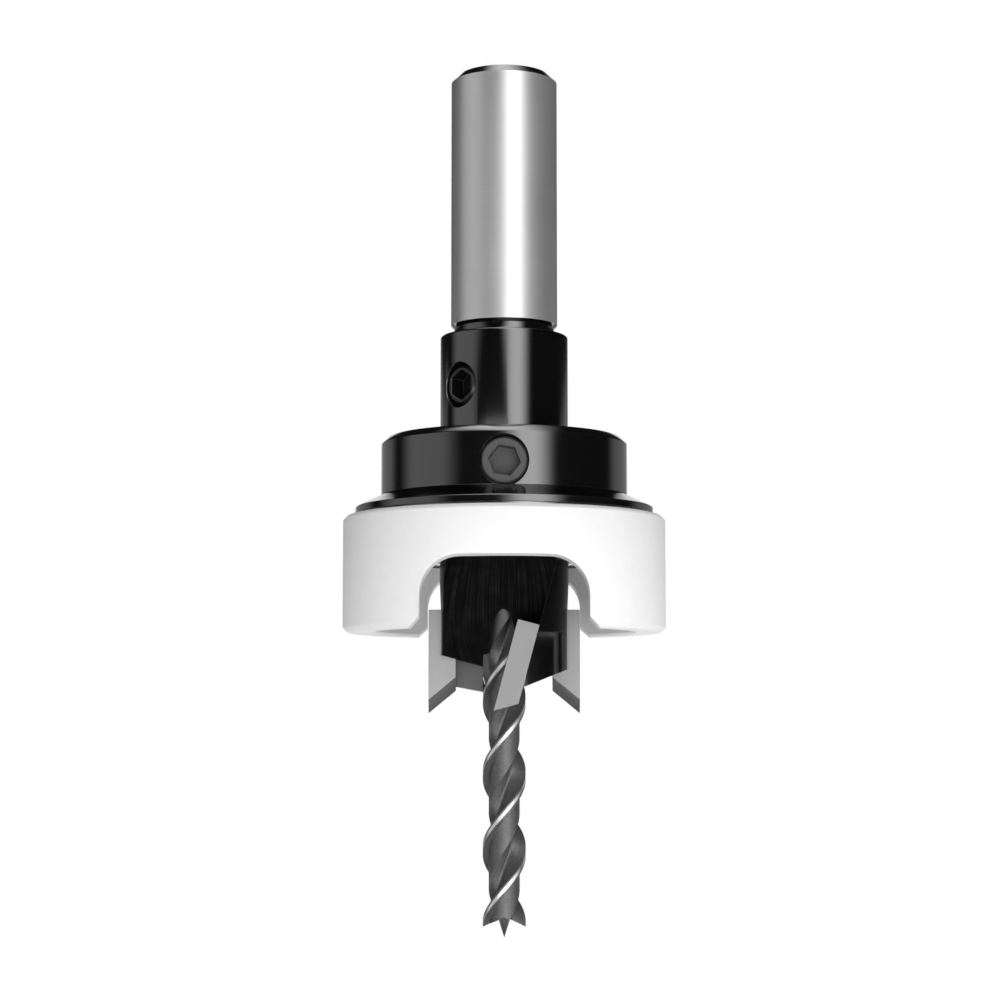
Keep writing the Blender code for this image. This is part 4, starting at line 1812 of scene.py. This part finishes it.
@dataclass(frozen=True)
class Panel:
    """A soft panel of light far from the tool, with its angles in degrees.

    The azimuth runs from the front towards -X and the height from the horizon up. Half
    and reach are how far the panel spreads across and along, up to where it is half as
    strong, and soft and fade are how gently it ends there.
    """

    azimuth: float
    half: float
    soft: float
    height: float
    reach: float
    fade: float
    level: float

    def band(
        self, sheet: NodeSheet, angle: Socket, centre: float, half: float, soft: float
    ) -> Socket:
        """Give a soft-edged band of an angle.

        Args:
            sheet: The sheet to work on.
            angle: The angle in radians.
            centre: The middle of the band.
            half: The distance from the middle at which it is half as strong.
            soft: How far its edge spreads to either side.

        Returns:
            A mask from 0 to 1.
        """
        degrees = sheet.maths("SUBTRACT", sheet.maths("DEGREES", angle), centre)
        inputs = {
            "Value": sheet.maths("ABSOLUTE", degrees),
            "From Min": half - soft,
            "From Max": half + soft,
            "To Min": 1.0,
            "To Max": 0.0,
        }
        node = sheet.add("ShaderNodeMapRange", {"interpolation_type": "SMOOTHSTEP"}, inputs)
        return node.outputs["Result"]

    def shine(self, sheet: NodeSheet, facing: Socket) -> Socket:
        """Give the panel's brightness in a direction.

        Args:
            sheet: The sheet to work on.
            facing: The direction.

        Returns:
            The brightness.
        """
        turn = math.radians(self.azimuth)
        ahead = sheet.dot(facing, (-math.sin(turn), -math.cos(turn), 0.0))
        aside = sheet.dot(facing, (-math.cos(turn), math.sin(turn), 0.0))
        above = sheet.dot(facing, (0.0, 0.0, 1.0))
        sweep, rise = sheet.maths("ARCSINE", aside), sheet.maths("ARCTAN2", above, ahead)
        across = self.band(sheet, sweep, 0.0, self.half, self.soft)
        along = self.band(sheet, rise, self.height, self.reach, self.fade)
        return sheet.product(sheet.product(across, along), self.level)


# Each panel's azimuth, half, soft, height, reach, fade and level
PANELS = (
    Panel(22.0, 16.0, 12.0, -50.0, 62.0, 8.0, 3.4),
    Panel(-76.0, 26.0, 12.0, -12.0, 24.0, 8.0, 0.65),
    Panel(140.0, 22.0, 8.0, 0.0, 11.0, 1.5, 0.34),
    Panel(-145.0, 20.0, 8.0, 0.0, 11.0, 1.5, 0.34),
    Panel(180.0, 12.0, 5.0, -10.0, 16.0, 6.0, 1.6),
    Panel(-10.0, 26.0, 12.0, 22.0, 14.0, 6.0, 4.9),
    Panel(52.0, 24.0, 14.0, 22.0, 14.0, 6.0, 3.3),
    Panel(180.0, 40.0, 12.0, 36.0, 16.0, 8.0, 2.2),
)


@dataclass(frozen=True)
class Studio:
    """The floor, the room, the soft lights and the camera."""

    focal_pixels: float = 2276.2
    picture: float = 1000.0
    distance: float = 0.21175
    height: float = 0.06168
    aside: float = 0.00039
    pitch: float = 5.722
    sensor: float = 36.0
    clip: Pair = (0.01, 50.0)
    aim: Triple = (0.0, 0.0, 0.045)
    room: float = 0.02
    backdrop: Pair = (0.93, 0.965)
    floor_radius: float = 6.0
    floor_steps: int = 96
    floor_grey: float = 0.50
    floor_white: float = 1.12
    floor_share: float = 0.85

    def camera(self) -> None:
        """Place the camera, hung upside down so that the drill points down."""
        data = bpy.data.cameras.new("camera")
        data.sensor_width = self.sensor
        data.lens = self.focal_pixels * data.sensor_width / self.picture
        data.clip_start, data.clip_end = self.clip
        tilt = math.radians(self.pitch)
        right = Vector((-1, 0, 0))
        up = Vector((0, -math.sin(tilt), -math.cos(tilt)))
        made = linked("camera", data)
        turn = Matrix((right, up, right.cross(up))).transposed()
        place = Vector((self.aside, -self.distance, self.height))
        made.matrix_world = Matrix.Translation(place) @ turn.to_4x4()
        bpy.context.scene.camera = made

    def top_light(self, rise: float, reach: float, size: float, level: float) -> None:
        """Place a soft square light in front of the tool that faces it.

        Args:
            rise: Degrees above the level of the tool.
            reach: Its distance in metres.
            size: Its side in metres.
            level: The brightness of its surface.
        """
        data = bpy.data.lights.new("top_light", "AREA")
        data.size = size
        data.energy = level * math.pi * size**2
        lift = math.radians(rise)
        back = Vector((0.0, -math.cos(lift), math.sin(lift)))
        made = linked("top_light", data)
        face = back.to_track_quat("Z", "Y").to_matrix().to_4x4()
        made.matrix_world = Matrix.Translation(Vector(self.aim) + back * reach) @ face
        made.visible_camera = False

    def seen(self, sheet: NodeSheet) -> Tuple[Socket, Socket]:
        """Give the masks of camera rays, and of glossy and transmitted rays.

        Args:
            sheet: The sheet to work on.

        Returns:
            The two masks.
        """
        path = sheet.add("ShaderNodeLightPath").outputs
        mirrored = sheet.maths("MAXIMUM", path["Is Glossy Ray"], path["Is Transmission Ray"])
        return path["Is Camera Ray"], mirrored

    def walls(self) -> None:
        """Make the room: soft panels round a dim studio, white where the camera looks."""
        world = bpy.data.worlds.new("room")
        sheet = blank_sheet(world)
        camera, mirrored = self.seen(sheet)
        facing = sheet.add("ShaderNodeTexCoord").outputs["Generated"]
        behind = sheet.between(sheet.dot(facing, (0.0, 1.0, 0.0)), *self.backdrop)
        white = sheet.maths("MAXIMUM", camera, sheet.product(mirrored, behind))
        light: Value = self.room
        for panel in PANELS:
            light = sheet.maths("ADD", panel.shine(sheet, facing), light)
        inputs = {0: white, 2: light, 3: 1.0}
        level = sheet.add("ShaderNodeMix", {"data_type": "FLOAT"}, inputs).outputs[0]
        inputs = {"Color": (1, 1, 1, 1), "Strength": level}
        shine = sheet.add("ShaderNodeBackground", None, inputs)
        out = sheet.add("ShaderNodeOutputWorld")
        sheet.feed(out.inputs["Surface"], shine.outputs[0])
        bpy.context.scene.world = world

    def floor(self) -> None:
        """Make the white floor, which keeps the tool's soft shadow."""
        material = bpy.data.materials.new("white_floor")
        sheet = blank_sheet(material)
        camera, mirrored = self.seen(sheet)
        share = sheet.product(sheet.maths("MAXIMUM", camera, mirrored), self.floor_share)
        inputs = {"Color": (*grey(self.floor_grey), 1.0)}
        matt = sheet.add("ShaderNodeBsdfDiffuse", None, inputs)
        inputs = {"Color": (1, 1, 1, 1), "Strength": self.floor_white}
        glow = sheet.add("ShaderNodeEmission", None, inputs)
        inputs = {0: share, 1: matt.outputs[0], 2: glow.outputs[0]}
        both = sheet.add("ShaderNodeMixShader", None, inputs)
        out = sheet.add("ShaderNodeOutputMaterial")
        sheet.feed(out.inputs["Surface"], both.outputs[0])
        data = bmesh.new()
        disc = {"cap_ends": True, "segments": self.floor_steps, "radius": self.floor_radius}
        bmesh.ops.create_circle(data, **disc)
        made = placed("floor", data)
        made.data.materials.append(material)
        made.visible_glossy = False

    def build(self) -> None:
        """Build the whole studio."""
        self.camera()
        self.walls()
        self.floor()
        self.top_light(rise=82.0, reach=0.70, size=0.5, level=0.5)
        bpy.context.scene.view_settings.view_transform = "Standard"


def main() -> None:
    """Load the frame, dress every piece and set up the studio."""
    logging.basicConfig(level=logging.INFO, format="%(name)s %(message)s")
    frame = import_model()
    bench = Bench(FinishShelf())
    shaft = Shaft()
    shaft.build(bench)
    CarbideSet().build(bench, shaft)
    PilotDrill().build(bench)
    drill_screw = SetScrew(
        name="drill_screw",
        body=Body.TOOL,
        hole=DRILL_SCREW_HOLE,
        radius=1.75,
        length=3.68,
        distance=5.7,
        twist=0.0,
        finish=DARK_SCREW_AND_SOCKET_SHADE,
    )
    drill_screw.build(bench, "drill_set_screw")
    collar_screw = SetScrew(
        name="collar_screw",
        body=Body.COLLAR,
        hole=COLLAR_SCREW_HOLE,
        radius=2.12,
        length=5.11,
        distance=11.15,
        twist=21.0,
        finish=SCREW_BLACK,
    )
    collar_screw.build(bench, "collar_set_screw")
    StopCollar().build(bench)
    BallBearing().build(bench, frame["nodes"])
    StopRing().build(bench)
    Studio().build()
    LOG.info("the tool is dressed")


if __name__ == "__main__":
    main()
